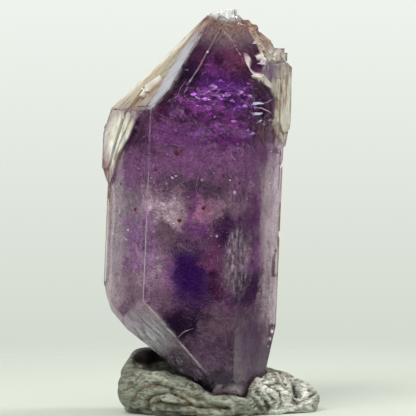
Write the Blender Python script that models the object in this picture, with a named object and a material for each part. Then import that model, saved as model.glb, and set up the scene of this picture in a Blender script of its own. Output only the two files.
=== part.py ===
"""Skeletal amethyst point, held upright by a lump of display putty.

Run it with: blender --background --python part.py

The crystal has its own frame, in millimetres: +Z is its long axis, the front is -Y, and heights
count from the surface that the putty stands on. Each natural face is a plane with an azimuth
(0 is the front, positive turns to the right), a tilt (positive faces up) and a reach, its
distance from the foot of the axis. Growth layers and hollows are outlined as seen from the front
or the back, as (x, z) points, and dropped onto the face that they belong to.
"""

import math
import random

import bmesh
import bpy
from mathutils import Matrix, Vector

MM = 0.001

# How the crystal stands: it leans to the right, and its axis meets the surface left of centre.
LEAN_DEG = 2.4
AXIS_FOOT_MM = (-2.33, 0.0, 0.0)
BLANK_MM = 160.0  # side of the cube that the planes cut down
BLANK_CENTRE_MM = (0.0, 0.0, 30.0)
# The stand's frame is moved by this, so that the middle of the whole thing's box is the origin.
CENTRE_SHIFT_MM = (-1.86, 0.57, 0.0)

# Prism: a regular angle between faces, with a wider back than front.
PRISM = {
    "front": (0.0, 0.0, 10.4),
    "front_left": (-60.0, 0.0, 11.6),
    "front_right": (60.0, 0.0, 11.55),
    "back_left": (-120.0, 0.0, 12.6),
    "back_right": (120.0, 0.0, 12.55),
    "back": (180.0, 0.0, 9.2),
}
# Upper termination. The left face has grown furthest in, so the tip stands right of the axis.
TIP = {
    "tip_front": (0.0, 38.2, 38.4),
    "tip_left": (-63.0, 40.5, 40.2),
    "tip_right": (60.0, 40.0, 45.2),
    "tip_back_left": (-120.0, 40.0, 40.5),
    "tip_back_right": (120.0, 40.0, 45.8),
    "tip_back": (180.0, 38.2, 41.2),
}
# Lower end, healed with slanting faces that run down to one corner at the right.
FOOT = {
    "foot_band": (-39.0, -30.7, 1.62),
    "foot_left": (-70.3, -22.9, 4.77),
    "foot_far_left": (-95.6, -17.8, 7.2),
    "foot_under": (-102.9, -55.9, -6.04),
    "foot_right": (90.0, -10.8, 11.0),
    "foot_right_low": (90.0, -43.4, 4.83),
    "foot_front_low": (8.0, -50.0, 3.2),
    "foot_back": (180.0, -40.0, -1.9),
    "foot_back_right": (125.0, -34.0, 5.2),
    "foot_floor": (60.0, -82.0, -1.9),
}
FACES = {**PRISM, **TIP, **FOOT}

LAYER_SINK_MM = 0.9  # how deep a growth layer is rooted in the face that it grows on
HOLLOW_MOUTH_MM = 2.5  # how far the shape that cuts a hollow stands out of its face

# The putty: rolls pressed together, each a row of balls (x, y, z, radius) in the stand's frame.
PUTTY_ROLLS_MM = {
    "pad": [(-8.0, 0.0, 1.2, 4.2), (0.0, 0.0, 0.4, 4.6), (9.0, 0.0, 0.8, 4.4)],
    "pad_front": [(-6.0, -3.0, 0.6, 3.8), (1.0, -4.4, 0.2, 4.0), (8.0, -3.0, 0.6, 3.6)],
    "pad_back": [(-5.0, 3.6, 0.6, 4.2), (2.0, 4.4, 0.6, 4.2), (9.0, 3.0, 0.6, 4.0)],
    "front_roll": [
        (-9.6, -3.2, 3.9, 3.7), (-6.4, -6.2, 4.1, 3.4), (-2.6, -7.4, 3.2, 3.0),
        (1.6, -8.0, 1.9, 2.5), (6.0, -7.6, 1.7, 2.4),
    ],
    "rear_wall": [
        (-10.3, -0.6, 5.6, 3.0), (-9.0, 3.0, 7.4, 2.5), (-5.4, 5.0, 7.8, 2.5),
        (-1.4, 6.4, 6.6, 2.8), (3.4, 7.0, 4.4, 2.9),
    ],
    "right_lobe": [
        (6.8, -5.8, 2.4, 2.6), (9.6, -4.2, 3.2, 2.9), (12.0, -1.6, 3.6, 2.8),
    ],
    "right_ridge": [
        (10.4, 2.4, 4.4, 2.3), (13.2, 1.4, 4.2, 2.1), (16.2, 0.6, 3.0, 1.8),
        (18.8, 0.0, 1.9, 0.9),
    ],
    "right_skirt": [(11.0, -3.2, 1.0, 2.8), (15.4, -1.4, 0.4, 2.4), (18.2, -0.4, 0.6, 1.2)],
}
# What is pressed out of the putty: the deep fold behind the front roll, and the creases.
PUTTY_FOLDS_MM = {
    "deep_fold": [(-8.6, -1.4, 8.6, 2.0), (-6.4, 0.2, 7.2, 2.1), (-2.8, -1.0, 6.4, 1.8)],
    "chin_hollow": [(3.4, -10.2, 4.6, 0.7), (5.4, -9.6, 4.2, 1.1), (7.4, -8.0, 4.0, 1.2)],
    "front_crease": [(-1.6, -11.2, 4.4, 0.8), (2.6, -11.0, 2.9, 0.8), (7.8, -10.4, 2.2, 0.7)],
    "lobe_crease": [(13.9, -5.2, 4.4, 0.8), (13.7, -3.4, 4.9, 0.8), (12.6, 0.2, 6.9, 0.7)],
    "back_crease": [(-6.0, 10.3, 3.0, 1.0), (0.0, 11.4, 3.2, 0.9), (6.0, 10.8, 2.6, 1.0)],
}
PUTTY_VOXEL_MM = 0.5
PUTTY_SOFTENING = 3  # rounds of smoothing where the rolls meet
PUTTY_SHARE_KEPT = 0.24  # share of the faces that stays once the putty has been thinned out
PUTTY_GAP_MM = 0.3
PUTTY_PINCH_MM = 0.5  # how far the surface is squeezed in and out
PUTTY_PINCH_SPACING_MM = 4.0


def direction(azimuth_deg, tilt_deg):
    """The outward normal of a face."""
    azimuth = math.radians(azimuth_deg)
    tilt = math.radians(tilt_deg)
    return Vector((
        math.sin(azimuth) * math.cos(tilt),
        -math.cos(azimuth) * math.cos(tilt),
        math.sin(tilt),
    ))


def on_face(face, x, z, rise=0.0):
    """The point of a face, raised by rise, that is seen at (x, z) from the front or the back."""
    azimuth, tilt, reach = FACES[face]
    normal = direction(azimuth, tilt)
    y = (reach + rise - normal.x * x - normal.z * z) / normal.y
    return Vector((x, y, z))


def mesh_object(name, bm, collection, parent=None):
    """A new object in metres from a closed bmesh in millimetres, in the frame of its parent."""
    bmesh.ops.recalc_face_normals(bm, faces=bm.faces)
    bmesh.ops.scale(bm, vec=(MM, MM, MM), verts=bm.verts)
    mesh = bpy.data.meshes.new(name)
    bm.to_mesh(mesh)
    bm.free()
    obj = bpy.data.objects.new(name, mesh)
    obj.parent = parent
    collection.objects.link(obj)
    return obj


def cut_block(planes, centre=BLANK_CENTRE_MM, size=BLANK_MM):
    """A convex bmesh: a cube cut down by (normal, distance) planes, one after another."""
    bm = bmesh.new()
    bmesh.ops.create_cube(bm, size=size, matrix=Matrix.Translation(centre))
    for normal, distance in planes:
        geometry = list(bm.verts) + list(bm.edges) + list(bm.faces)
        cut = bmesh.ops.bisect_plane(
            bm,
            geom=geometry,
            plane_co=normal * distance,
            plane_no=normal,
            clear_outer=True,
        )
        rim = [item for item in cut["geom_cut"] if isinstance(item, bmesh.types.BMEdge)]
        if rim:
            bmesh.ops.contextual_create(bm, geom=rim)
    return bm


def stone_planes(grow=0.0):
    """The planes of the bare crystal, each moved outwards by grow."""
    planes = []
    for azimuth, tilt, reach in FACES.values():
        planes.append((direction(azimuth, tilt), reach + grow))
    return planes


def frustum(bottom, top):
    """A closed bmesh between two outlines with the same number of points."""
    bm = bmesh.new()
    low = [bm.verts.new(point) for point in bottom]
    high = [bm.verts.new(point) for point in top]
    bm.faces.new(low)
    bm.faces.new(high)
    for i in range(len(low)):
        j = (i + 1) % len(low)
        bm.faces.new((low[i], low[j], high[j], high[i]))
    return bm


def spread_from_middle(points, amount):
    """The points moved away from their middle by amount, or towards it where that is negative."""
    middle = sum(points, Vector()) / len(points)
    moved = []
    for point in points:
        arm = point - middle
        moved.append(point + arm.normalized() * amount)
    return moved


def layer(name, face, outline, rise, flare=0.15, sink=LAYER_SINK_MM):
    """A growth layer on a face. The outline is that of its top, as seen."""
    normal = direction(*FACES[face][:2])
    top = [on_face(face, x, z, rise) for x, z in outline]
    root = [point - normal * (rise + sink) for point in spread_from_middle(top, flare)]
    return mesh_object(name, frustum(root, top), GROWTH, AXIS)


def hollow(name, face, outline, depth, slope=0.12):
    """A sunken window in a face. The outline is that of its mouth, as seen."""
    normal = direction(*FACES[face][:2])
    mouth = [on_face(face, x, z) for x, z in outline]
    floor = [point - normal * depth for point in spread_from_middle(mouth, -slope)]
    lid = [point + normal * HOLLOW_MOUTH_MM for point in spread_from_middle(mouth, slope)]
    return mesh_object(name, frustum(floor, lid), HOLLOWS, AXIS)


def hopper(name, face, outline, steps, tread, drop):
    """Nested sunken windows, each smaller and deeper than the last, as a skeletal face has."""
    ring = [Vector((x, 0.0, z)) for x, z in outline]
    for step in range(steps):
        points = [(point.x, point.z) for point in ring]
        hollow(f"{name}_{step}", face, points, drop * (step + 1))
        ring = spread_from_middle(ring, -tread)


def shard(name, collection, centre, reach, seed, cuts=9, stretch=(1.0, 1.0, 1.0)):
    """An angular broken lump: a block cut by planes in seeded directions."""
    source = random.Random(seed)
    planes = []
    for axis in (Vector((1, 0, 0)), Vector((0, 1, 0)), Vector((0, 0, 1))):
        planes.append((axis, reach * source.uniform(0.85, 1.0)))
        planes.append((-axis, reach * source.uniform(0.85, 1.0)))
    for _ in range(cuts):
        way = Vector([source.gauss(0.0, 1.0) for _ in range(3)]).normalized()
        planes.append((way, reach * source.uniform(0.78, 1.0)))
    bm = cut_block(planes, centre=(0.0, 0.0, 0.0), size=4.0 * reach)
    bmesh.ops.scale(bm, vec=stretch, verts=bm.verts)
    bmesh.ops.translate(bm, vec=centre, verts=bm.verts)
    return mesh_object(name, bm, collection, AXIS)


def rubble(name, collection, start, end, count, reach, seed, spread=0.4):
    """Angular lumps strewn along a line."""
    source = random.Random(seed)
    for i in range(count):
        part_way = (i + source.uniform(0.2, 0.8)) / count
        centre = [
            a + (b - a) * part_way + source.uniform(-spread, spread) for a, b in zip(start, end)
        ]
        size = reach * source.uniform(0.7, 1.25)
        shard(f"{name}_{i}", collection, centre, size, seed * 100 + i)


def dish(name, face, x, z, width, depth, kept_share=0.2):
    """A shallow shell-shaped fracture, cut by a large ball that is sunk into a face.

    The ball is cut off above its middle, at kept_share of its radius.
    """
    radius = (width * width / 4.0 + depth * depth) / (2.0 * depth)
    normal = direction(*FACES[face][:2])
    centre = on_face(face, x, z) + normal * (radius - depth)
    bm = bmesh.new()
    bmesh.ops.create_icosphere(bm, subdivisions=3, radius=radius)
    away = [vert for vert in bm.verts if vert.co.dot(normal) > radius * kept_share]
    bmesh.ops.delete(bm, geom=away, context="VERTS")
    rim = [edge for edge in bm.edges if edge.is_boundary]
    bmesh.ops.contextual_create(bm, geom=rim)
    bmesh.ops.translate(bm, vec=centre, verts=bm.verts)
    return mesh_object(name, bm, HOLLOWS, AXIS)


def grow_left_shoulder():
    """The pale ribs that overhang the prism below the left end of the termination."""
    layer("rib_outer", "front_left", [
        (-13.9, 47.8), (-12.3, 47.8), (-12.1, 46.6), (-13.5, 41.4), (-14.0, 38.6),
        (-15.0, 38.4), (-15.0, 44.0),
    ], rise=1.15, flare=0.1, sink=1.4)
    layer("rib_inner", "front_left", [
        (-11.3, 47.5), (-10.7, 47.9), (-9.6, 47.4), (-11.0, 43.6), (-12.7, 40.6),
        (-13.4, 38.4), (-13.6, 36.2), (-13.7, 38.6), (-12.6, 43.0),
    ], rise=0.85, flare=0.12)
    layer("rib_inner_crest", "front_left", [
        (-11.1, 47.2), (-10.5, 47.2), (-12.4, 42.6), (-13.1, 40.0), (-13.3, 40.2), (-12.5, 43.2),
    ], rise=1.15, flare=0.12)
    layer("rib_toe", "front_left", [
        (-15.0, 38.7), (-12.9, 39.6), (-13.5, 36.4), (-13.8, 35.9), (-14.2, 36.6),
    ], rise=0.75, flare=0.05, sink=1.2)
    layer("rib_web", "front_left", [
        (-12.3, 47.6), (-11.2, 47.6), (-12.9, 41.0), (-13.9, 38.0), (-14.0, 39.0),
    ], rise=0.35, flare=0.1)
    layer("rib_back", "back_left", [
        (-13.6, 47.6), (-11.6, 47.0), (-11.2, 44.6), (-12.6, 40.0), (-14.3, 38.0), (-14.9, 39.4),
        (-14.9, 45.0),
    ], rise=0.9, flare=0.1, sink=1.4)
    layer("rib_back_inner", "back_left", [
        (-10.8, 46.4), (-9.9, 46.2), (-10.6, 41.0), (-12.2, 37.0), (-12.8, 37.4), (-11.9, 42.0),
    ], rise=0.6)


def grow_left_slope():
    """Plates, a rail and a small bar along the steep left face of the termination."""
    layer("slope_plate", "tip_left", [
        (-10.0, 48.7), (-7.3, 49.0), (-4.9, 51.8), (-2.7, 56.3), (-0.2, 61.2), (-1.0, 60.6),
        (-5.5, 53.9), (-8.1, 50.9),
    ], rise=0.12, flare=0.05)
    layer("slope_rail", "tip_left", [
        (-13.7, 48.0), (-11.2, 48.3), (-9.3, 50.4), (-8.9, 51.6), (-6.4, 53.9), (-1.5, 60.4),
        (0.9, 63.6), (-8.0, 54.2),
    ], rise=0.25, flare=0.3)
    layer("slope_bar", "tip_left", [
        (-8.6, 51.1), (-8.6, 51.9), (-6.3, 53.8), (-6.0, 53.1), (-7.9, 51.2),
    ], rise=0.6, flare=0.1)
    layer("slope_knot", "tip_left", [
        (-9.8, 50.4), (-9.2, 51.6), (-8.6, 51.4), (-8.9, 50.4),
    ], rise=0.75, flare=0.1)
    layer("slope_step", "tip_back_left", [
        (-13.2, 48.2), (-12.0, 48.2), (-6.4, 54.0), (0.9, 61.8), (1.6, 63.2), (0.6, 62.8),
    ], rise=0.4)


def grow_right_shoulder():
    """Upright plates that stand past the prism below the right end of the termination."""
    layer("plate_outer", "front_right", [
        (13.3, 56.4), (13.9, 56.5), (14.7, 55.8), (14.9, 47.7), (14.75, 45.9), (13.9, 45.2),
        (13.2, 47.0),
    ], rise=1.05, flare=0.05, sink=1.6)
    layer("plate_middle", "front_right", [
        (11.9, 56.0), (13.2, 56.3), (13.4, 47.0), (13.3, 44.0), (12.2, 44.6), (11.9, 49.0),
    ], rise=0.6, flare=0.1)
    layer("plate_seam", "front_right", [
        (12.5, 53.6), (12.8, 53.8), (12.9, 46.4), (12.5, 46.0),
    ], rise=0.95, flare=0.08)
    layer("plate_back", "back_right", [
        (14.6, 55.2), (12.8, 54.6), (10.9, 52.0), (11.2, 46.0), (12.6, 42.8), (14.4, 44.4),
        (14.8, 47.0),
    ], rise=0.7, flare=0.1, sink=1.4)
    layer("plate_back_inner", "back_right", [
        (12.2, 52.4), (11.2, 50.4), (11.5, 46.4), (12.6, 44.8), (13.4, 47.6),
    ], rise=1.05)
    layer("margin_ridge", "front_right", [
        (7.9, 48.4), (8.9, 47.9), (10.4, 45.7), (11.6, 43.6), (13.5, 42.5), (13.2, 41.9),
        (11.2, 42.8), (9.6, 45.2), (8.3, 47.2),
    ], rise=0.35, flare=0.15)
    layer("margin_lump", "front_right", [
        (11.4, 46.9), (12.9, 46.3), (14.5, 44.9), (14.2, 43.2), (13.4, 42.6), (12.2, 43.2),
        (11.2, 45.0),
    ], rise=0.65, flare=0.3)
    layer("margin_crest", "front_right", [
        (12.6, 45.6), (13.5, 45.3), (14.0, 44.0), (13.3, 43.4), (12.4, 44.2),
    ], rise=1.05, flare=0.25)


def grow_right_slope():
    """Broken steps that climb from the right shoulder to the tip."""
    layer("step_low", "tip_right", [
        (11.3, 56.9), (11.9, 58.6), (12.9, 58.3), (13.9, 57.2), (13.4, 56.6),
    ], rise=0.3, flare=0.1)
    layer("step_middle", "tip_right", [
        (8.4, 60.8), (9.4, 61.2), (11.2, 59.9), (11.9, 58.4), (10.9, 57.6), (9.6, 59.0),
    ], rise=0.3, flare=0.15)
    layer("step_high", "tip_front", [
        (5.4, 62.7), (6.6, 62.3), (7.9, 60.4), (9.3, 57.6), (8.3, 57.9), (6.9, 59.9),
    ], rise=0.3, flare=0.2)
    layer("step_edge", "tip_front", [
        (6.6, 61.6), (7.9, 61.3), (9.8, 58.3), (10.5, 56.4), (9.5, 56.2), (8.5, 58.2),
    ], rise=0.55, flare=0.2)
    layer("step_back", "tip_back_right", [
        (6.9, 62.6), (9.6, 60.4), (12.9, 57.0), (10.8, 56.8), (8.6, 59.6),
    ], rise=0.35)
    layer("ledge_upper", "tip_front", [
        (6.75, 58.6), (7.15, 58.5), (8.2, 56.6), (9.6, 55.1), (9.5, 53.7), (8.2, 55.0),
        (7.2, 56.6),
    ], rise=0.5, flare=0.12)
    layer("ledge_lower", "front_right", [
        (9.2, 54.4), (10.1, 54.6), (11.4, 53.2), (12.3, 52.2), (12.3, 51.3), (11.2, 52.2),
        (9.8, 53.7),
    ], rise=0.4, flare=0.12)
    rubble("slope_rubble", GROWTH, (7.6, -0.6, 61.6), (13.0, -0.6, 56.9), 7, 0.75, seed=5)
    rubble("slope_grit", GROWTH, (6.2, -1.6, 61.8), (10.4, -4.6, 56.4), 6, 0.5, seed=8)


def grow_back_steps():
    """Thin growth sheets that end in steps across the back of the prism."""
    layer("back_sheet", "back", [
        (-9.0, 47.6), (-2.6, 54.4), (9.0, 54.4), (9.0, 36.0), (5.6, 33.2), (2.0, 35.4),
        (-1.4, 31.8), (-5.0, 33.6), (-9.0, 30.2),
    ], rise=0.22, flare=0.0)
    layer("back_sheet_high", "back", [
        (-4.6, 51.6), (-2.2, 54.0), (8.6, 54.0), (8.6, 44.2), (4.4, 41.0), (1.8, 43.8),
        (-2.2, 42.2), (-4.8, 45.6),
    ], rise=0.42, flare=0.0)
    layer("back_island", "back", [
        (-6.2, 25.6), (-3.0, 27.2), (-1.4, 22.4), (-3.6, 17.6), (-6.6, 20.2),
    ], rise=0.25, flare=0.1)
    layer("back_left_sheet", "back_left", [
        (-13.6, 46.4), (-9.6, 47.0), (-9.6, 41.0), (-11.4, 38.6), (-13.4, 41.4),
    ], rise=0.25, flare=0.0)
    layer("back_right_sheet", "back_right", [
        (13.6, 38.4), (9.6, 41.8), (9.6, 24.6), (11.0, 21.4), (13.6, 25.2),
    ], rise=0.22, flare=0.0)


def grow_tip():
    """The blunt, broken tip."""
    shard("tip_knob", GROWTH, (1.9, 1.3, 63.0), 1.15, seed=4, stretch=(0.9, 1.0, 0.95))
    shard("tip_crown", GROWTH, (4.2, 1.6, 63.5), 1.45, seed=11, stretch=(1.05, 1.0, 0.85))
    shard("tip_lump", GROWTH, (7.4, 1.2, 61.6), 1.1, seed=7, stretch=(1.1, 1.2, 0.8))
    shard("tip_far_lump", GROWTH, (12.2, 1.0, 57.6), 1.3, seed=29, stretch=(1.0, 1.2, 0.95))


def sink_windows():
    """The sunken windows of the skeletal faces, and the gaps between their ribs."""
    hollow("front_window", "tip_front", [
        (3.1, 61.6), (-1.5, 52.9), (-2.6, 51.0), (0.2, 49.6), (6.4, 50.0), (7.6, 52.4),
        (6.9, 56.7), (5.3, 59.3),
    ], depth=0.35, slope=0.05)
    hopper("side_window", "front_right", [
        (8.1, 52.6), (9.6, 53.4), (11.2, 52.4), (12.0, 50.4), (11.9, 47.4), (10.6, 46.2),
        (8.9, 47.8),
    ], steps=3, tread=0.75, drop=0.42)
    hollow("slope_notch", "tip_left", [
        (-11.3, 47.6), (-10.5, 47.4), (-8.3, 50.8), (-8.9, 51.2),
    ], depth=0.4, slope=0.15)
    hopper("back_window", "tip_back", [
        (-0.2, 56.2), (8.0, 56.0), (7.2, 58.6), (5.2, 62.4), (3.1, 62.6),
    ], steps=3, tread=0.9, drop=0.4)
    hopper("back_left_window", "tip_back_left", [
        (-10.9, 49.0), (-8.9, 49.0), (-3.6, 54.6), (-0.6, 60.0), (-2.4, 58.8),
    ], steps=2, tread=0.5, drop=0.35)
    hopper("back_left_prism_window", "back_left", [
        (-12.7, 20.0), (-10.4, 19.0), (-10.2, 33.0), (-11.4, 36.0), (-12.8, 33.5),
    ], steps=2, tread=0.6, drop=0.3)


def chip_edges():
    """Chips and bites along the edges, and the small notch in the front of the foot."""
    hollow("foot_notch", "front", [
        (5.2, 4.2), (5.2, 5.3), (7.5, 6.6), (9.6, 4.4), (9.6, 3.6),
    ], depth=0.9, slope=0.6)
    shard("foot_chip_high", HOLLOWS, (14.2, -1.0, 13.4), 1.25, seed=31, stretch=(1.0, 1.4, 1.1))
    shard("foot_chip_mid", HOLLOWS, (13.6, -2.4, 10.6), 1.2, seed=37, stretch=(1.0, 1.2, 1.1))
    shard("foot_chip_low", HOLLOWS, (12.6, -4.2, 12.8), 0.8, seed=41, stretch=(1.0, 1.0, 1.3))
    shard("edge_bite_high", HOLLOWS, (14.3, 0.6, 40.4), 0.8, seed=43)
    shard("edge_bite_mid", HOLLOWS, (14.5, 0.8, 28.9), 0.85, seed=47, stretch=(1.0, 1.0, 0.9))
    shard("foot_left_bite", HOLLOWS, (-13.0, 2.6, 15.6), 1.1, seed=53)
    shard("tip_bite", HOLLOWS, (3.1, 0.4, 65.2), 0.7, seed=59)
    shard("slope_bite_high", HOLLOWS, (-4.6, 2.2, 58.6), 0.7, seed=61)
    shard("slope_bite_low", HOLLOWS, (-9.6, 1.8, 53.3), 0.7, seed=67)
    shard("back_bite", HOLLOWS, (9.8, 9.4, 24.0), 1.5, seed=71, stretch=(1.0, 1.0, 1.5))
    shard("crest_bite", HOLLOWS, (6.3, 1.1, 64.3), 1.35, seed=73)
    rubble("crest_bites", HOLLOWS, (8.6, 0.9, 62.7), (13.4, 0.9, 57.9), 4, 0.45, seed=6)
    dish("crest_dish_high", "tip_front", 5.8, 61.6, 3.4, 0.22)
    dish("crest_dish_mid", "tip_front", 8.3, 58.7, 3.2, 0.2)
    dish("crest_dish_low", "tip_front", 9.3, 55.7, 2.4, 0.16)
    dish("margin_dish", "front_right", 11.2, 44.7, 2.8, 0.24)
    dish("back_dish", "back_right", 11.4, 31.0, 5.0, 0.3)
    dish("back_dish_small", "back_right", 11.0, 27.2, 3.2, 0.25)


def join_growth(obj):
    """Fuses every growth layer to the crystal and then sinks the hollows into it."""
    for name, operation, collection in (
        ("Grown layers", "UNION", GROWTH),
        ("Hollows", "DIFFERENCE", HOLLOWS),
    ):
        modifier = obj.modifiers.new(name, "BOOLEAN")
        modifier.operation = operation
        modifier.operand_type = "COLLECTION"
        modifier.collection = collection
        modifier.solver = "EXACT"


def plain_material(name, colour, roughness, transmission=0.0, ior=1.5):
    """A Principled material with one colour."""
    material = bpy.data.materials.new(name)
    material.use_nodes = True
    shader = material.node_tree.nodes["Principled BSDF"]
    shader.inputs["Base Color"].default_value = (*colour, 1.0)
    shader.inputs["Roughness"].default_value = roughness
    shader.inputs["Metallic"].default_value = 0.0
    shader.inputs["Transmission Weight"].default_value = transmission
    shader.inputs["IOR"].default_value = ior
    return material


def build_crystal():
    """The crystal: one solid, with its layers fused and its windows sunk."""
    crystal = mesh_object("crystal", cut_block(stone_planes()), SCENE, AXIS)
    grow_left_shoulder()
    grow_left_slope()
    grow_right_shoulder()
    grow_right_slope()
    grow_back_steps()
    grow_tip()
    sink_windows()
    chip_edges()
    join_growth(crystal)
    crystal.data.materials.append(
        plain_material("amethyst", (0.30, 0.17, 0.36), 0.08, transmission=0.9, ior=1.545)
    )


def roll_of_balls(bm, balls):
    """Adds one roll to a bmesh: for each two balls in the row, the hull around both."""
    ball = bmesh.new()
    bmesh.ops.create_icosphere(ball, subdivisions=3, radius=1.0)
    around = [vert.co.copy() for vert in ball.verts]
    ball.free()
    for (*start, start_radius), (*end, end_radius) in zip(balls, balls[1:]):
        points = [Vector(start) + way * start_radius for way in around]
        points += [Vector(end) + way * end_radius for way in around]
        made = [bm.verts.new(point) for point in points]
        bmesh.ops.convex_hull(bm, input=made)
        inside = [vert for vert in made if vert.is_valid and not vert.link_faces]
        bmesh.ops.delete(bm, geom=inside, context="VERTS")


def hollows_of_putty():
    """What the putty leaves free: the crystal with a gap round it, and all below the surface."""
    mesh_object("socket", cut_block(stone_planes(PUTTY_GAP_MM)), PUTTY_HOLLOWS, AXIS)
    below = bmesh.new()
    middle = Matrix.Translation((0.0, 0.0, -BLANK_MM / 2.0))
    bmesh.ops.create_cube(below, size=BLANK_MM, matrix=middle)
    mesh_object("below", below, PUTTY_HOLLOWS, STAND)


def build_putty():
    """The putty: rolls made one lump, pinched and thinned out, then pressed round the crystal."""
    bm = bmesh.new()
    for balls in PUTTY_ROLLS_MM.values():
        roll_of_balls(bm, balls)
    putty = mesh_object("putty", bm, SCENE, STAND)
    for name, balls in PUTTY_FOLDS_MM.items():
        fold = bmesh.new()
        roll_of_balls(fold, balls)
        mesh_object(name, fold, PUTTY_FOLDS, STAND)

    knead = putty.modifiers.new("Knead into one", "REMESH")
    knead.mode = "VOXEL"
    knead.voxel_size = PUTTY_VOXEL_MM * MM
    crease = putty.modifiers.new("Fold and crease", "BOOLEAN")
    crease.operation = "DIFFERENCE"
    crease.operand_type = "COLLECTION"
    crease.collection = PUTTY_FOLDS
    crease.solver = "EXACT"
    knead_again = putty.modifiers.new("Knead again", "REMESH")
    knead_again.mode = "VOXEL"
    knead_again.voxel_size = PUTTY_VOXEL_MM * MM
    soften = putty.modifiers.new("Soften", "SMOOTH")
    soften.factor = 0.5
    soften.iterations = PUTTY_SOFTENING
    pinches = bpy.data.textures.new("pinches", "CLOUDS")
    pinches.noise_scale = PUTTY_PINCH_SPACING_MM * MM
    pinches.noise_depth = 2
    pinch = putty.modifiers.new("Pinch", "DISPLACE")
    pinch.texture = pinches
    pinch.texture_coords = "LOCAL"
    pinch.strength = 2.0 * PUTTY_PINCH_MM * MM
    thin = putty.modifiers.new("Thin out", "DECIMATE")
    thin.ratio = PUTTY_SHARE_KEPT
    hollows_of_putty()
    press = putty.modifiers.new("Press round the crystal", "BOOLEAN")
    press.operation = "DIFFERENCE"
    press.operand_type = "COLLECTION"
    press.collection = PUTTY_HOLLOWS
    press.solver = "EXACT"
    putty.data.materials.append(plain_material("putty", (0.22, 0.22, 0.17), 0.6))


def helper_collection(name):
    """A collection of helpers that the render and the build leave out."""
    collection = bpy.data.collections.new(name)
    collection.hide_render = True
    bpy.context.scene.collection.children.link(collection)
    return collection


def frame_empty(name, parent=None, place_mm=(0.0, 0.0, 0.0), lean_deg=0.0):
    """An empty that carries a frame of its own."""
    empty = bpy.data.objects.new(name, None)
    empty.parent = parent
    empty.location = [value * MM for value in place_mm]
    empty.rotation_euler = (0.0, math.radians(lean_deg), 0.0)
    SCENE.objects.link(empty)
    return empty


def clear_scene():
    """Removes whatever the scene starts with."""
    for obj in list(bpy.data.objects):
        bpy.data.objects.remove(obj)


def hide_helpers():
    """Marks every helper so that it shows as a wire and isn't rendered."""
    for collection in (GROWTH, HOLLOWS, PUTTY_HOLLOWS, PUTTY_FOLDS):
        for obj in collection.objects:
            obj.hide_render = True
            obj.display_type = "WIRE"


clear_scene()
SCENE = bpy.context.scene.collection
GROWTH = helper_collection("growth layers")
HOLLOWS = helper_collection("hollows")
PUTTY_HOLLOWS = helper_collection("putty hollows")
PUTTY_FOLDS = helper_collection("putty folds")
STAND = frame_empty("stand", place_mm=CENTRE_SHIFT_MM)
AXIS = frame_empty("crystal_axis", STAND, AXIS_FOOT_MM, LEAN_DEG)
build_crystal()
build_putty()
hide_helpers()
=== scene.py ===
"""The looks of a skeletal phantom amethyst point that stands in a lump of putty.

Sizes are in millimetres. The stone's are in the crystal's own frame: +Z is its long axis, the front
is -Y, and heights count from the surface below. A face is given by its azimuth (0 is the front,
positive turns to the right), its tilt (positive faces up) and its reach from the foot of the axis.
"""

import logging
import math
import random
from collections.abc import Iterator
from dataclasses import dataclass, field
from enum import Enum
from functools import cached_property

import bpy
import numpy as np
from mathutils import Matrix, Vector


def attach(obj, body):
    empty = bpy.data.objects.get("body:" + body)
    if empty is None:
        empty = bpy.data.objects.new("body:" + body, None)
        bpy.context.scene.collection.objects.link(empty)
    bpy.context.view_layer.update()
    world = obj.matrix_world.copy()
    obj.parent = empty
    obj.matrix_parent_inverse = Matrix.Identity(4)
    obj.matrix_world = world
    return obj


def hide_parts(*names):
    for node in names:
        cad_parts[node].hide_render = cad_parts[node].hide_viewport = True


LOG = logging.getLogger("amethyst_point")

MM = 0.001
ROOT = "root"
LEAN_DEG = 2.4
AXIS_FOOT_MM = (-4.19, 0.57, 0.0)
PHOTO_SIDE_PX = 416
MM_PER_PX = 0.16
ORIGIN = (0.0, 0.0, 0.0)
CLEAR = (1.0, 1.0, 1.0)
MARBLE_PERIOD = 0.726  # how far apart the bands of a marble texture lie

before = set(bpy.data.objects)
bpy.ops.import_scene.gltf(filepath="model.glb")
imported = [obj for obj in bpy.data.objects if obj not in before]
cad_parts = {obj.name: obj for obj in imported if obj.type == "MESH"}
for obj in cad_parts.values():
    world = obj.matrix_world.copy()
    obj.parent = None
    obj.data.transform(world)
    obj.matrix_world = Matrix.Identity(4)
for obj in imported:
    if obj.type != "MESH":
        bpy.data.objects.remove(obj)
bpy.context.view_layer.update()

CRYSTAL_MATRIX = (
    Matrix.Translation([value * MM for value in AXIS_FOOT_MM])
    @ Matrix.Rotation(math.radians(LEAN_DEG), 4, "Y")
    @ Matrix.Scale(MM, 4)
)

Triple = tuple[float, float, float]
Face = tuple[float, float, float]
Colour = tuple[float, float, float]
Route = list[tuple[float, float]]
Piece = bpy.types.Object
Material = bpy.types.Material
Tree = bpy.types.NodeTree
Socket = bpy.types.NodeSocket

FRONT: Face = (0, 0, 10.4)
FRONT_LEFT: Face = (-60, 0, 11.6)
FRONT_RIGHT: Face = (60, 0, 11.55)
TIP_FRONT: Face = (0, 38.2, 38.4)
TIP_LEFT: Face = (-63, 40.5, 40.2)
TIP_RIGHT: Face = (60, 40, 45.2)
FOOT_BAND: Face = (-39, -30.7, 1.62)
FOOT_FRONT: Face = (8, -50, 3.2)

STONE_FACES: list[Face] = [
    FRONT, FRONT_LEFT, FRONT_RIGHT, (-120, 0, 12.6), (120, 0, 12.55), (180, 0, 9.2),
    TIP_FRONT, TIP_LEFT, TIP_RIGHT, (-120, 40, 40.5), (120, 40, 45.8), (180, 38.2, 41.2),
    FOOT_BAND, (-70.3, -22.9, 4.77), (-95.6, -17.8, 7.2), (-102.9, -55.9, -6.04),
    (90, -10.8, 11), (90, -43.4, 4.83), FOOT_FRONT, (180, -40, -1.9), (125, -34, 5.2),
    (60, -82, -1.9),
]


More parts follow.
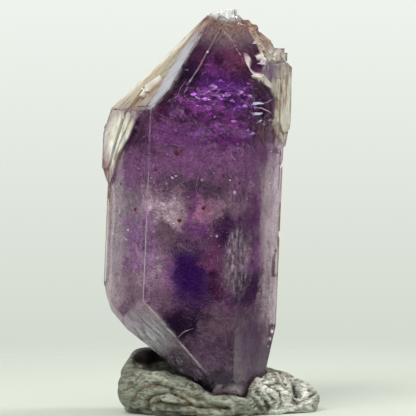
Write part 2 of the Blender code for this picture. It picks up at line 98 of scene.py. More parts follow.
class Slot(Enum):
    """The record's material slots."""

    AMETHYST = "amethyst"
    PUTTY = "putty"


class Tint(Enum):
    """The colours that the stone's inclusions and stains take."""

    PALE = (0.64, 0.50, 0.56)
    FROST = (0.46, 0.40, 0.44)
    LILAC = (0.42, 0.17, 0.42)
    ROSE = (0.70, 0.32, 0.52)
    BLUSH = (0.86, 0.68, 0.76)
    ORCHID = (0.60, 0.28, 0.58)
    FAWN = (0.49, 0.30, 0.40)
    THISTLE = (0.33, 0.10, 0.35)
    GREY = (0.34, 0.20, 0.30)
    SMOKE = (0.18, 0.095, 0.17)
    MAUVE = (0.32, 0.14, 0.30)
    VIOLET = (0.42, 0.08, 0.46)
    INDIGO = (0.17, 0.028, 0.28)
    IRIS = (0.50, 0.27, 0.54)
    HEATHER = (0.24, 0.14, 0.21)
    PURPLE = (0.23, 0.04, 0.26)
    PLUM = (0.11, 0.018, 0.09)
    DARK = (0.026, 0.002, 0.045)
    NIGHT = (0.08, 0.015, 0.11)
    DEEP = (0.055, 0.002, 0.16)
    WARM = (0.24, 0.06, 0.15)
    MULBERRY = (0.28, 0.08, 0.22)
    TAN = (0.38, 0.28, 0.20)
    BROWN = (0.33, 0.20, 0.11)
    RUST = (0.46, 0.24, 0.09)
    SAND = (0.42, 0.37, 0.28)
    CREAM = (0.66, 0.62, 0.52)
    WHITE = (0.80, 0.82, 0.84)
    ICE = (0.38, 0.39, 0.43)


@dataclass(frozen=True)
class Zone:
    """A zone of the stone with inclusions of one colour. At its half sizes it is half gone."""

    x: float
    z: float
    half_width: float
    half_height: float
    tint: Tint
    cover: float
    y: float = -1.0
    half_depth: float = 32.0


ZONES: dict[str, Zone] = {
    "left prism": Zone(-11.6, 27, 3.4, 11, Tint.FROST, 0.70),
    "right prism": Zone(13, 27, 3.6, 12.5, Tint.PALE, 0.50),
    "head": Zone(3, 56.5, 8.6, 8, Tint.PLUM, 0.96),
    "head warm": Zone(5, 57.6, 2.2, 2.4, Tint.WARM, 0.85),
    "head violet": Zone(2.6, 55, 2.2, 1.6, Tint.PURPLE, 0.90),
    "belt dark left": Zone(-2.4, 53, 3, 2.2, Tint.DARK, 0.96),
    "belt indigo high": Zone(3, 52.6, 4.6, 1.4, Tint.INDIGO, 0.92),
    "belt indigo": Zone(5.4, 50.6, 4.6, 1.8, Tint.INDIGO, 0.92),
    "belt left": Zone(-4.2, 48.8, 3.6, 2.6, Tint.PLUM, 0.94),
    "belt left streak": Zone(-2.8, 47.2, 2.6, 0.7, Tint.LILAC, 0.70),
    "belt high": Zone(1.6, 49.5, 4.4, 1.4, Tint.VIOLET, 0.90),
    "belt line": Zone(0.4, 47.9, 4.6, 0.5, Tint.PLUM, 0.90),
    "belt low": Zone(4.6, 47.9, 4.4, 1, Tint.VIOLET, 0.85),
    "belt right": Zone(9.8, 48.8, 1.8, 2, Tint.PLUM, 0.90),
    "under belt": Zone(0, 44.6, 9.5, 2.3, Tint.THISTLE, 0.90),
    "under belt right": Zone(5.4, 43.4, 5, 2.4, Tint.PURPLE, 0.90),
    "under ledge": Zone(10.6, 46.2, 2.2, 2.6, Tint.PLUM, 0.90),
    "left purple": Zone(-9.4, 44, 2.6, 3.4, Tint.PLUM, 0.80),
    "left lilac": Zone(-9.4, 38.6, 3.6, 3, Tint.LILAC, 0.60),
    "lilac mid": Zone(0.5, 40.4, 8.6, 2.2, Tint.LILAC, 0.80),
    "right lilac": Zone(9.8, 40.6, 3, 4.6, Tint.LILAC, 0.65),
    "right pale": Zone(11.8, 36, 2, 4.6, Tint.PALE, 0.50),
    "ghost arc": Zone(-0.3, 36.8, 4.8, 1.1, Tint.SMOKE, 0.78),
    "ghost arc left": Zone(-5.6, 35.6, 1.8, 1.4, Tint.SMOKE, 0.80),
    "ghost arc right": Zone(3.2, 35.8, 2.6, 1.6, Tint.SMOKE, 0.85),
    "ghost arc edge": Zone(6.6, 33.8, 1, 2, Tint.GREY, 0.85),
    "ghost left": Zone(-4.6, 32.5, 3.6, 3, Tint.BLUSH, 0.84),
    "ghost low left": Zone(-5.2, 28.2, 2.4, 3.2, Tint.GREY, 0.70),
    "ghost pink": Zone(1.4, 32.4, 2.2, 2.9, Tint.ROSE, 0.70),
    "ghost brown": Zone(4.8, 33.2, 1.9, 2, Tint.FAWN, 0.85),
    "ghost spine": Zone(0, 33.6, 0.6, 3, Tint.THISTLE, 0.75),
    "core top": Zone(0.4, 29.4, 2.9, 1.6, Tint.THISTLE, 0.75),
    "core smoke": Zone(-1, 27.4, 2.6, 1.4, Tint.HEATHER, 0.80),
    "core left": Zone(-4, 22.9, 2.1, 3.3, Tint.ORCHID, 0.85),
    "core": Zone(0.2, 22.9, 4.1, 4.3, Tint.DEEP, 0.86),
    "flank": Zone(3.8, 25.4, 1.4, 3.2, Tint.MULBERRY, 0.90),
    "flank dark": Zone(4.3, 21.2, 1.2, 1.6, Tint.PLUM, 0.92),
    "hook": Zone(5.4, 29.2, 1.9, 2.3, Tint.NIGHT, 0.94),
    "hook edge": Zone(4, 30.6, 1.4, 0.9, Tint.SMOKE, 0.90),
    "speckled veil": Zone(6.9, 24.2, 1.4, 4.2, Tint.GREY, 0.80),
    "speckled veil high": Zone(8.4, 28, 0.8, 2.2, Tint.FROST, 0.70),
    "right band high": Zone(8.2, 32.8, 1, 3.4, Tint.PURPLE, 0.80),
    "right band": Zone(9.8, 26.4, 1.2, 5.6, Tint.PURPLE, 0.96, y=-7, half_depth=7),
    "right lavender": Zone(8.9, 24.4, 0.8, 2.4, Tint.LILAC, 0.85),
    "right dark": Zone(8.1, 20.8, 1.8, 2.5, Tint.NIGHT, 0.98),
    "left edge": Zone(-8.1, 26.8, 1.1, 5.8, Tint.IRIS, 0.90, y=-8, half_depth=9),
    "edge pale": Zone(-6.4, 23, 0.9, 4.2, Tint.PALE, 0.75, y=-8, half_depth=9),
    "left low": Zone(-10.4, 18.8, 3, 3.6, Tint.PALE, 0.45),
    "left foot": Zone(-5.8, 17.4, 2.6, 3, Tint.GREY, 0.75),
    "low": Zone(2.8, 9.8, 8.4, 7.6, Tint.SMOKE, 0.96),
    "low mid": Zone(4.2, 15.4, 3.6, 3.4, Tint.HEATHER, 0.92),
    "low dark": Zone(-0.8, 15.7, 3.2, 2.9, Tint.DARK, 0.98),
    "low right": Zone(9.3, 14.8, 1.8, 3.6, Tint.SMOKE, 0.95),
    "low right edge": Zone(11.2, 8.6, 1.8, 4, Tint.PLUM, 0.90, y=-7, half_depth=8),
    "low pink": Zone(12.6, 14.6, 1.6, 3, Tint.PALE, 0.60),
    "foot tip": Zone(5, 4.6, 5, 2.6, Tint.DARK, 0.90),
}


def direction(azimuth_deg: float, tilt_deg: float) -> Vector:
    """The outward normal of a face, in the crystal's frame.

    Args:
        azimuth_deg: the way it faces, seen from above.
        tilt_deg: how far it faces up.

    Returns:
        The normal.
    """
    azimuth, tilt = math.radians(azimuth_deg), math.radians(tilt_deg)
    level = math.cos(tilt)
    return Vector((math.sin(azimuth) * level, -math.cos(azimuth) * level, math.sin(tilt)))


def below_face(face: Face, x: float, z: float, depth: float) -> Vector:
    """The point a little below a face that is seen at (x, z) from the front."""
    normal = direction(face[0], face[1])
    return Vector((x, (face[2] - depth - normal.x * x - normal.z * z) / normal.y, z))


def below_front(x: float, z: float, depth: float) -> Vector:
    """The point a little below whichever face is seen at (x, z) from the front."""
    faces = (FRONT, FRONT_LEFT, FRONT_RIGHT, TIP_FRONT)
    return max((below_face(face, x, z, depth) for face in faces), key=lambda point: point.y)


def inside_stone(point: Vector, margin: float) -> bool:
    """Whether a point lies inside the stone, at least a margin below every face."""
    return all(direction(*face[:2]).dot(point) < face[2] - margin for face in STONE_FACES)


def adjust(thing: object, settings: dict[str, object]) -> None:
    """Gives a thing its settings, by name."""
    for name, value in settings.items():
        setattr(thing, name, value)


def select(*pieces: Piece) -> None:
    """Selects these pieces and nothing else, and makes the first of them the active one.

    Args:
        pieces: the objects, or none.
    """
    bpy.ops.object.select_all(action="DESELECT")
    for piece in reversed(pieces):
        piece.select_set(True)
        bpy.context.view_layer.objects.active = piece


def settle(piece: Piece, matrix: Matrix = CRYSTAL_MATRIX) -> None:
    """Moves a piece by a matrix and applies its place, so that its object sits at the origin.

    Args:
        piece: the object, in the frame that the matrix starts from.
        matrix: where that frame stands.
    """
    piece.matrix_world = matrix @ piece.matrix_world
    select(piece)
    bpy.ops.object.transform_apply(location=True, rotation=True, scale=True)


def duplicate(piece: Piece) -> Piece:
    """A copy of a piece with its own mesh.

    Args:
        piece: the object.

    Returns:
        The copy, at the same place.
    """
    copy = piece.copy()
    copy.data = piece.data.copy()
    bpy.context.scene.collection.objects.link(copy)
    return copy


def join(copies: list[Piece]) -> Piece:
    """Joins several pieces of the stone into the first one, and settles it.

    Args:
        copies: the objects, in the crystal's frame.

    Returns:
        The joined piece, in the row's frame.
    """
    select(*copies)
    bpy.ops.object.join()
    settle(copies[0])
    return copies[0]


def modify(piece: Piece, name: str, kind: str, **settings: object) -> bpy.types.Modifier:
    """Adds a modifier to a piece.

    Args:
        piece: the object.
        name: the modifier's name.
        kind: its type.
        settings: its settings.

    Returns:
        The modifier.
    """
    modifier = piece.modifiers.new(name, kind)
    adjust(modifier, settings)
    return modifier


def remesh(piece: Piece, voxel: float) -> None:
    """Adds a modifier that gives a piece even faces, a voxel wide in mm."""
    modify(piece, "Even faces", "REMESH", mode="VOXEL", voxel_size=voxel * MM)


def displace(piece: Piece, name: str, kind: str, scale: float, strength: float,
             **settings: object) -> bpy.types.Modifier:
    """Adds a Displace modifier with a texture of its own.

    Args:
        piece: the object.
        name: the name of the modifier and of its texture.
        kind: the texture's type.
        scale: the size of the pattern, in mm.
        strength: the height from the lowest to the highest point, in mm.
        settings: the texture's other settings.

    Returns:
        The modifier.
    """
    texture = bpy.data.textures.new(name, kind)
    adjust(texture, {"noise_scale": scale * MM, **settings})
    return modify(piece, name, "DISPLACE", texture=texture, texture_coords="LOCAL",
                  strength=strength * MM, mid_level=0.5)


def lift(piece: Piece, name: str, height: float) -> None:
    """Adds a modifier that moves a piece's surface outwards by a height in mm."""
    modify(piece, name, "DISPLACE", strength=height * MM, mid_level=0.0)


def apply_modifiers(piece: Piece, smooth: bool = False) -> None:
    """Applies every modifier of a piece, in order.

    Args:
        piece: the object.
        smooth: whether it is then shaded smooth.
    """
    select(piece)
    for modifier in list(piece.modifiers):
        bpy.ops.object.modifier_apply(modifier=modifier.name)
    if smooth:
        bpy.ops.object.shade_smooth()


def hand_in(piece: Piece, name: str, slot: Slot, material: Material) -> None:
    """Names a finished piece, gives it its material and lets it ride.

    Args:
        piece: the object, at its place.
        name: the name of the piece.
        slot: not used.
        material: what it is made of.
    """
    piece.name = name
    piece.data.materials.clear()
    piece.data.materials.append(material)
    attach(piece, ROOT)
    LOG.info("%s: %d faces", name, len(piece.data.polygons))


def cad_copy(node: str) -> Piece:
    """A copy of a CAD node, with its own mesh and its points merged.

    Args:
        node: the node's name.

    Returns:
        The copy, which has no parent.
    """
    piece = duplicate(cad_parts[node])
    piece.parent = None
    for key in list(piece.keys()):
        del piece[key]
    select(piece)
    bpy.ops.object.mode_set(mode="EDIT")
    bpy.ops.mesh.select_all(action="SELECT")
    bpy.ops.mesh.remove_doubles(threshold=1e-6)
    bpy.ops.mesh.dissolve_limited(angle_limit=math.radians(0.4))
    bpy.ops.object.mode_set(mode="OBJECT")
    return piece


@dataclass
class FacetedBody:
    """A body with natural faces: a block that planes cut down, one after another."""

    faces: list[Face]
    inset: float = 0.0
    blank: float = 160.0
    blank_height: float = 30.0
    lump: float = 0.0
    lump_size: float = 5.0
    voxel: float = 0.6

    def carve(self) -> Piece:
        """Cuts the body out of a cube, and makes its faces lumpy if it has a lump height.

        Returns:
            The body, in the row's frame.
        """
        select()
        bpy.ops.mesh.primitive_cube_add(size=self.blank, location=(0, 0, self.blank_height))
        piece = bpy.context.active_object
        bpy.ops.object.mode_set(mode="EDIT")
        for azimuth, tilt, reach in self.faces:
            normal = direction(azimuth, tilt)
            bpy.ops.mesh.select_all(action="SELECT")
            bpy.ops.mesh.bisect(plane_co=normal * (reach - self.inset), plane_no=normal,
                                use_fill=True, clear_outer=True)
        bpy.ops.object.mode_set(mode="OBJECT")
        settle(piece)
        if self.lump:
            remesh(piece, self.voxel)
            displace(piece, "Lumps", "CLOUDS", self.lump_size, self.lump, noise_depth=3)
            apply_modifiers(piece, smooth=True)
        return piece


class Nodes:
    """A node tree that is written as short calls. Most of them return an output socket."""

    def __init__(self, tree: Tree) -> None:
        """Keeps the tree that the nodes go to."""
        self.tree = tree

    def feed(self, socket: Socket, value: object) -> None:
        """Links an output to an input, or sets the input itself.

        Args:
            socket: the input.
            value: the output, or a number, a triple or a tint.
        """
        if isinstance(value, Socket):
            self.tree.links.new(value, socket)
            return
        value = value.value if isinstance(value, Tint) else value
        socket.default_value = (*value, 1.0) if socket.type == "RGBA" else value

    def add(self, kind: str, given: dict | None = None, **settings: object) -> bpy.types.Node:
        """A new node.

        Args:
            kind: its type, without ShaderNode.
            given: what its inputs get, by name or number.
            settings: its settings.

        Returns:
            The node.
        """
        node = self.tree.nodes.new(f"ShaderNode{kind}")
        adjust(node, settings)
        for name, value in (given or {}).items():
            self.feed(node.inputs[name], value)
        return node

    def math(self, operation: str, *values: object) -> Socket:
        """A Math node."""
        return self.add("Math", dict(enumerate(values)), operation=operation).outputs[0]

    def vector(self, operation: str, *values: object) -> Socket:
        """A Vector Math node."""
        node = self.add("VectorMath", dict(enumerate(values)), operation=operation)
        return node.outputs["Value" if operation in ("LENGTH", "DOT_PRODUCT") else "Vector"]

    def span(self, value: object, low: object, high: object, to_low: object = 0.0,
             to_high: object = 1.0, smooth: bool = False) -> Socket:
        """A Map Range node, clamped.

        Args:
            value: what is mapped.
            low: the value that gives to_low.
            high: the value that gives to_high.
            to_low: the result at and below low.
            to_high: the result at and above high.
            smooth: whether the change starts and ends softly.

        Returns:
            The mapped value.
        """
        given = {"Value": value, "From Min": low, "From Max": high,
                 "To Min": to_low, "To Max": to_high}
        kind = "SMOOTHSTEP" if smooth else "LINEAR"
        return self.add("MapRange", given, interpolation_type=kind).outputs["Result"]

    def noise(self, vector: object, scale: object, detail: float = 4.0, rough: float = 0.55,
              warp: float = 0.0, output: str = "Fac") -> Socket:
        """A Noise Texture, with lumps about 1 / scale across.

        Args:
            vector: where it is read.
            scale: lumps per mm.
            detail: how many finer sizes are added.
            rough: how strong the finer sizes are.
            warp: how far it is distorted.
            output: Fac or Color.

        Returns:
            The chosen output.
        """
        given = {"Vector": vector, "Scale": scale, "Detail": detail, "Roughness": rough,
                 "Distortion": warp}
        return self.add("TexNoise", given).outputs[output]

    def blend(self, share: object, first: object, second: object, mode: str = "MIX") -> Socket:
        """A colour between two others, or the second laid over the first in another mode."""
        given = {"Factor": share, 6: first, 7: second}
        return self.add("Mix", given, data_type="RGBA", blend_type=mode).outputs[2]

    def bump(self, height: object, strength: float, distance: float) -> Socket:
        """A Bump node's normal. The distance is in mm."""
        given = {"Strength": strength, "Distance": distance * MM, "Height": height}
        return self.add("Bump", given).outputs[0]

    def group(self, tree: Tree, **values: object) -> bpy.types.bpy_prop_collection:
        """The outputs of a shared effect with its own values."""
        return self.add("Group", values, node_tree=tree).outputs

    def mask(self, tree: Tree, **values: object) -> Socket:
        """The mask that a shared effect puts out."""
        return self.group(tree, **values)["Mask"]


class Effect(Nodes):
    """A shader node group while it is written."""

    def __init__(self, name: str, **inputs: object) -> None:
        """Opens the group.

        Args:
            name: its name.
            inputs: its inputs, with a number or a triple as the default of each.
        """
        super().__init__(bpy.data.node_groups.new(name, "ShaderNodeTree"))
        for label, value in inputs.items():
            kind = "NodeSocketFloat" if isinstance(value, float) else "NodeSocketVector"
            socket = self.tree.interface.new_socket(label, in_out="INPUT", socket_type=kind)
            socket.default_value = value
        self.given = self.tree.nodes.new("NodeGroupInput").outputs

    def close(self, **results: Socket) -> Tree:
        """Gives the group its outputs.

        Args:
            results: what each output puts out.

        Returns:
            The group.
        """
        kinds = {"VALUE": "Float", "VECTOR": "Vector", "RGBA": "Color"}
        for label, value in results.items():
            kind = f"NodeSocket{kinds[value.type]}"
            self.tree.interface.new_socket(label, in_out="OUTPUT", socket_type=kind)
        wanted = self.tree.nodes.new("NodeGroupOutput").inputs
        for label, value in results.items():
            self.feed(wanted[label], value)
        return self.tree


class Effects:
    """The shader node groups that the finishes share, each built once."""

    WARPS = ((0.14, 8.0), (0.45, 5.0), (1.5, 2.2), (5.0, 0.7))
    MOTTLES = ((0.5, 1.8, 0.5), (1.3, 1.6, 0.7))

    @cached_property
    def crystal_place(self) -> Tree:
        """Turns a place in the row's frame into millimetres in the crystal's frame.

        Returns:
            The group.
        """
        nodes = Effect("crystal place", Vector=ORIGIN)
        given = {
            "Vector": nodes.given["Vector"],
            "Location": [value * MM for value in AXIS_FOOT_MM],
            "Rotation": (0.0, math.radians(LEAN_DEG), 0.0),
            "Scale": (MM, MM, MM),
        }
        return nodes.close(Place=nodes.add("Mapping", given, vector_type="TEXTURE").outputs[0])

    @cached_property
    def spot(self) -> Tree:
        """A soft round mask, 1 in its middle and 0 beyond its radii.

        Returns:
            The group.
        """
        nodes = Effect("soft spot", Place=ORIGIN, Centre=ORIGIN, Radii=CLEAR, Core=0.2)
        arm = nodes.vector("SUBTRACT", nodes.given["Place"], nodes.given["Centre"])
        away = nodes.vector("LENGTH", nodes.vector("DIVIDE", arm, nodes.given["Radii"]))
        return nodes.close(Mask=nodes.span(away, nodes.given["Core"], 1.0, 1.0, 0.0, smooth=True))

    @cached_property
    def near_face(self) -> Tree:
        """A mask of what lies beyond a plane, such as the growth on one face.

        Returns:
            The group.
        """
        nodes = Effect("near face", Place=ORIGIN, Direction=ORIGIN, Reach=10.0, Softness=0.2)
        height = nodes.vector("DOT_PRODUCT", nodes.given["Place"], nodes.given["Direction"])
        low = nodes.math("SUBTRACT", nodes.given["Reach"], nodes.given["Softness"])
        return nodes.close(Mask=nodes.span(height, low, nodes.given["Reach"]))

    @cached_property
    def mottle(self) -> Tree:
        """Cloudy patches of two sizes.

        Returns:
            The group.
        """
        nodes = Effect("mottle", Place=ORIGIN, Scale=0.5, Low=0.4, High=0.6)
        place, scale = nodes.given["Place"], nodes.given["Scale"]
        broad = nodes.noise(place, scale, 5.0, 0.6, 0.4)
        fine = nodes.noise(place, nodes.math("MULTIPLY", scale, 5.3), 3.0)
        both = nodes.math("MULTIPLY_ADD", fine, 0.32, nodes.math("MULTIPLY", broad, 0.68))
        return nodes.close(
            Mask=nodes.span(both, nodes.given["Low"], nodes.given["High"], smooth=True))

    @cached_property
    def speckle(self) -> Tree:
        """Small separate dots of uneven size.

        Returns:
            The group.
        """
        nodes = Effect("speckle", Place=ORIGIN, Scale=2.0, Size=0.2)
        place, scale = nodes.given["Place"], nodes.given["Scale"]
        cells = nodes.add("TexVoronoi", {"Vector": place, "Scale": scale})
        size = nodes.math("MULTIPLY", nodes.noise(place, 0.7, 2.0), nodes.given["Size"])
        return nodes.close(Mask=nodes.math("LESS_THAN", cells.outputs["Distance"], size))

    @cached_property
    def wisps(self) -> Tree:
        """Thin crooked threads, and the light and dark mottling between them, about 1 on average.

        Returns:
            The group.
        """
        nodes = Effect("wisps", Place=ORIGIN, Scale=0.8, Width=0.03, Contrast=0.6)
        place, scale = nodes.given["Place"], nodes.given["Scale"]
        flat = nodes.vector("MULTIPLY", place, (1.0, 1.0, 1.8))
        ridge = nodes.math("SUBTRACT", nodes.noise(flat, scale, 6.0, 0.62, 1.1), 0.5)
        threads = nodes.span(nodes.math("ABSOLUTE", ridge), 0.0, nodes.given["Width"], 1.0, 0.0)
        light = 1.0
        for where, (factor, warp, share) in zip((place, flat), self.MOTTLES):
            lumps = nodes.noise(where, nodes.math("MULTIPLY", scale, factor), 5.0, 0.66, warp)
            swing = nodes.span(lumps, 0.38, 0.62, -share, share)
            light = nodes.math("MULTIPLY_ADD", swing, nodes.given["Contrast"], light)
        return nodes.close(Threads=threads, Light=nodes.math("MAXIMUM", light, 0.12))

    @cached_property
    def growth_lines(self) -> Tree:
        """The fine level lines of growth across a prism, and faint hillocks, as a height.

        Returns:
            The group.
        """
        nodes = Effect("growth lines", Place=ORIGIN, Lines=0.5, Hillocks=0.5)
        height = 0.0
        for label, stretch, scale in (("Lines", (0.10, 0.10, 1.0), 1.0),
                                      ("Hillocks", (1.0, 1.0, 0.45), 0.35)):
            where = nodes.vector("MULTIPLY", nodes.given["Place"], stretch)
            lumps = nodes.math("MULTIPLY", nodes.noise(where, scale, 2.0), nodes.given[label])
            height = nodes.math("ADD", height, lumps)
        return nodes.close(Height=height)

    @cached_property
    def zoning(self) -> Tree:
        """The colour of the stone's inclusions at a place, and how densely they lie there.

        Returns:
            The group.
        """
        nodes = Effect("colour zoning", Place=ORIGIN)
        place = nodes.given["Place"]
        for scale, reach in self.WARPS:
            push = nodes.noise(nodes.given["Place"], scale, 2.0, output="Color")
            centred = nodes.vector("SUBTRACT", push, (0.5, 0.5, 0.5))
            place = nodes.vector("MULTIPLY_ADD", centred, (reach, reach, reach), place)
        colour = Tint.MAUVE
        cover = 0.55
        for zone in ZONES.values():
            sizes = (zone.half_width, zone.half_depth, zone.half_height)
            mask = nodes.mask(self.spot, Place=place, Centre=(zone.x, zone.y, zone.z), Core=0.5,
                              Radii=[size / 0.75 for size in sizes])
            colour = nodes.blend(mask, colour, zone.tint)
            cover = nodes.span(mask, 0.0, 1.0, cover, zone.cover)
        slope = nodes.mask(self.near_face, Place=nodes.given["Place"], Softness=0.3,
                           Direction=direction(*TIP_LEFT[:2]), Reach=TIP_LEFT[2] - 0.5)
        return nodes.close(Colour=nodes.blend(slope, colour, Tint.PALE), Cover=cover)


EFFECTS = Effects()


class Surface(Nodes):
    """A material's nodes while they are written."""

    def __init__(self, name: str) -> None:
        """Opens a material with one Principled shader."""
        self.material = bpy.data.materials.new(name)
        self.material.use_nodes = True
        super().__init__(self.material.node_tree)
        self.point = self.add("TexCoord").outputs["Object"]

    @cached_property
    def place(self) -> Socket:
        """Where a point lies in the crystal's frame, in mm."""
        return self.group(EFFECTS.crystal_place, Vector=self.point)["Place"]

    def attribute(self, name: str) -> Socket:
        """What a mesh stores under a name."""
        return self.add("Attribute", attribute_name=name).outputs["Fac"]

    def absorb(self, tint: Colour, density: float) -> None:
        """Gives the material an inside that passes a tint, and absorbs the rest, per metre."""
        inside = self.add("VolumeAbsorption", {"Color": tint, "Density": density}).outputs[0]
        self.feed(self.tree.nodes["Material Output"].inputs["Volume"], inside)

    def close(self, **sockets: object) -> Material:
        """Gives the shader its values. An underscore in a name stands for a space.

        Args:
            sockets: what each of its inputs gets.

        Returns:
            The material.
        """
        shader = self.tree.nodes["Principled BSDF"]
        for name, value in sockets.items():
            self.feed(shader.inputs[name.replace("_", " ")], value)
        return self.material


@dataclass(frozen=True)
class ClearQuartz:
    """The outer stone: clear quartz with a faint violet tint and fine growth lines."""

    tint: Colour = (0.55, 0.10, 0.48)
    density: float = 38.0
    ior: float = 1.544
    etched_roughness: float = 0.05

    def material(self) -> Material:
        """Builds the material.

        Returns:
            The material.
        """
        nodes = Surface("clear_quartz")
        etched = nodes.mask(EFFECTS.mottle, Place=nodes.place, Scale=0.35, Low=0.50, High=0.78)
        lines = nodes.group(EFFECTS.growth_lines, Place=nodes.place, Lines=0.7, Hillocks=0.8)
        nodes.absorb(self.tint, self.density)
        return nodes.close(
            Base_Color=CLEAR, Roughness=nodes.span(etched, 0.0, 1.0, 0.0, self.etched_roughness),
            Transmission_Weight=1.0, IOR=self.ior, Normal=nodes.bump(lines["Height"], 0.20, 0.08))


@dataclass(frozen=True)
class ColourZone:
    """A violet zone inside the stone. It has the stone's own refraction, so only its tint shows."""

    name: str
    tint: Colour
    density: float

    def material(self) -> Material:
        """Builds the material.

        Returns:
            The material.
        """
        nodes = Surface(self.name)
        nodes.absorb(self.tint, self.density)
        return nodes.close(Base_Color=CLEAR, Roughness=0.0, Transmission_Weight=1.0, IOR=1.0)


@dataclass(frozen=True)
class Veil:
    """A film of fine inclusions in the colours of the stone's zones, with gaps to look through."""

    name: str
    strength: float
    scale: float = 0.6
    dots: float = 0.25
    contrast: float = 0.85
    belt_contrast: float = 1.6
    belt: tuple[Triple, Triple] = ((2.5, -1.0, 48.6), (9.5, 32.0, 6.0))
    # spark brightens the film's light specks into painted glints; pit colours its dark specks.
    spark: Colour = (0.30, 0.20, 0.34)
    pit: Colour = (0.02, 0.008, 0.02)
    mark_share: float = 0.8

    def material(self) -> Material:
        """Builds the material.

        Returns:
            The material.
        """
        nodes = Surface(self.name)
        place = nodes.place
        zones = nodes.group(EFFECTS.zoning, Place=place)
        centre, radii = self.belt
        belt = nodes.mask(EFFECTS.spot, Place=place, Centre=centre, Radii=radii, Core=0.5)
        calm = nodes.span(nodes.noise(place, 0.22, 2.0), 0.38, 0.62, 0.4, 1.3)
        contrast = nodes.span(belt, 0.0, 1.0, self.contrast, self.belt_contrast)
        wisps = nodes.group(EFFECTS.wisps, Place=place, Scale=self.scale,
                            Contrast=nodes.math("MULTIPLY", contrast, calm))
        patches = nodes.mask(EFFECTS.mottle, Place=place, Scale=self.scale, Low=0.36, High=0.62)
        cover = nodes.math("MULTIPLY", zones["Cover"], self.strength)
        cover = nodes.math("MULTIPLY", cover, nodes.span(patches, 0.0, 1.0, 0.35, 1.2))
        grey = nodes.add("CombineColor", {part: wisps["Light"] for part in range(3)}).outputs[0]
        colour = nodes.blend(1.0, zones["Colour"], grey, "MULTIPLY")
        # The threads are drawn in their zone's colour doubled and the sparks brighter still:
        # painted glints on fine cracks.
        glow = nodes.blend(1.0, zones["Colour"], zones["Colour"], "ADD")
        apart = nodes.vector("ADD", place, (3.3, 0.0, 7.1))
        sparks = nodes.mask(EFFECTS.speckle, Place=place, Scale=1.7, Size=self.dots)
        pits = nodes.mask(EFFECTS.speckle, Place=apart, Scale=1.3, Size=self.dots * 1.2)
        bright = nodes.blend(1.0, glow, self.spark, "ADD")
        for mark, tone in ((wisps["Threads"], glow), (sparks, bright), (pits, self.pit)):
            colour = nodes.blend(nodes.math("MULTIPLY", mark, self.mark_share), colour, tone)
        return nodes.close(Base_Color=colour, Alpha=nodes.math("MINIMUM", cover, 0.98),
                           Roughness=0.85, Specular_IOR_Level=0.0)


@dataclass(frozen=True)
class Crust:
    """A frosted or stained part of the skin, or painted light or shade on it: what lies beyond one
    or two planes, near a centre.

    Its grain runs at an angle across the front (90 is upright). Streaks says how bare the stone
    is between the streaks, and gap how far apart they lie (0.36 is close).
    """

    face: Face
    rise: float
    centre: Triple
    radii: Triple
    tint: Tint
    other: Tint
    cover: float
    softness: float = 0.2
    second_face: Face | None = None
    grain_deg: float = 90.0
    grain_size: float = 1.0
    streaks: float = 0.35
    gap: float = 0.36

    def planes(self) -> list[Face]:
        """The planes that it lies beyond."""
        first = (*self.face[:2], self.face[2] + self.rise)
        return [first, self.second_face] if self.second_face else [first]


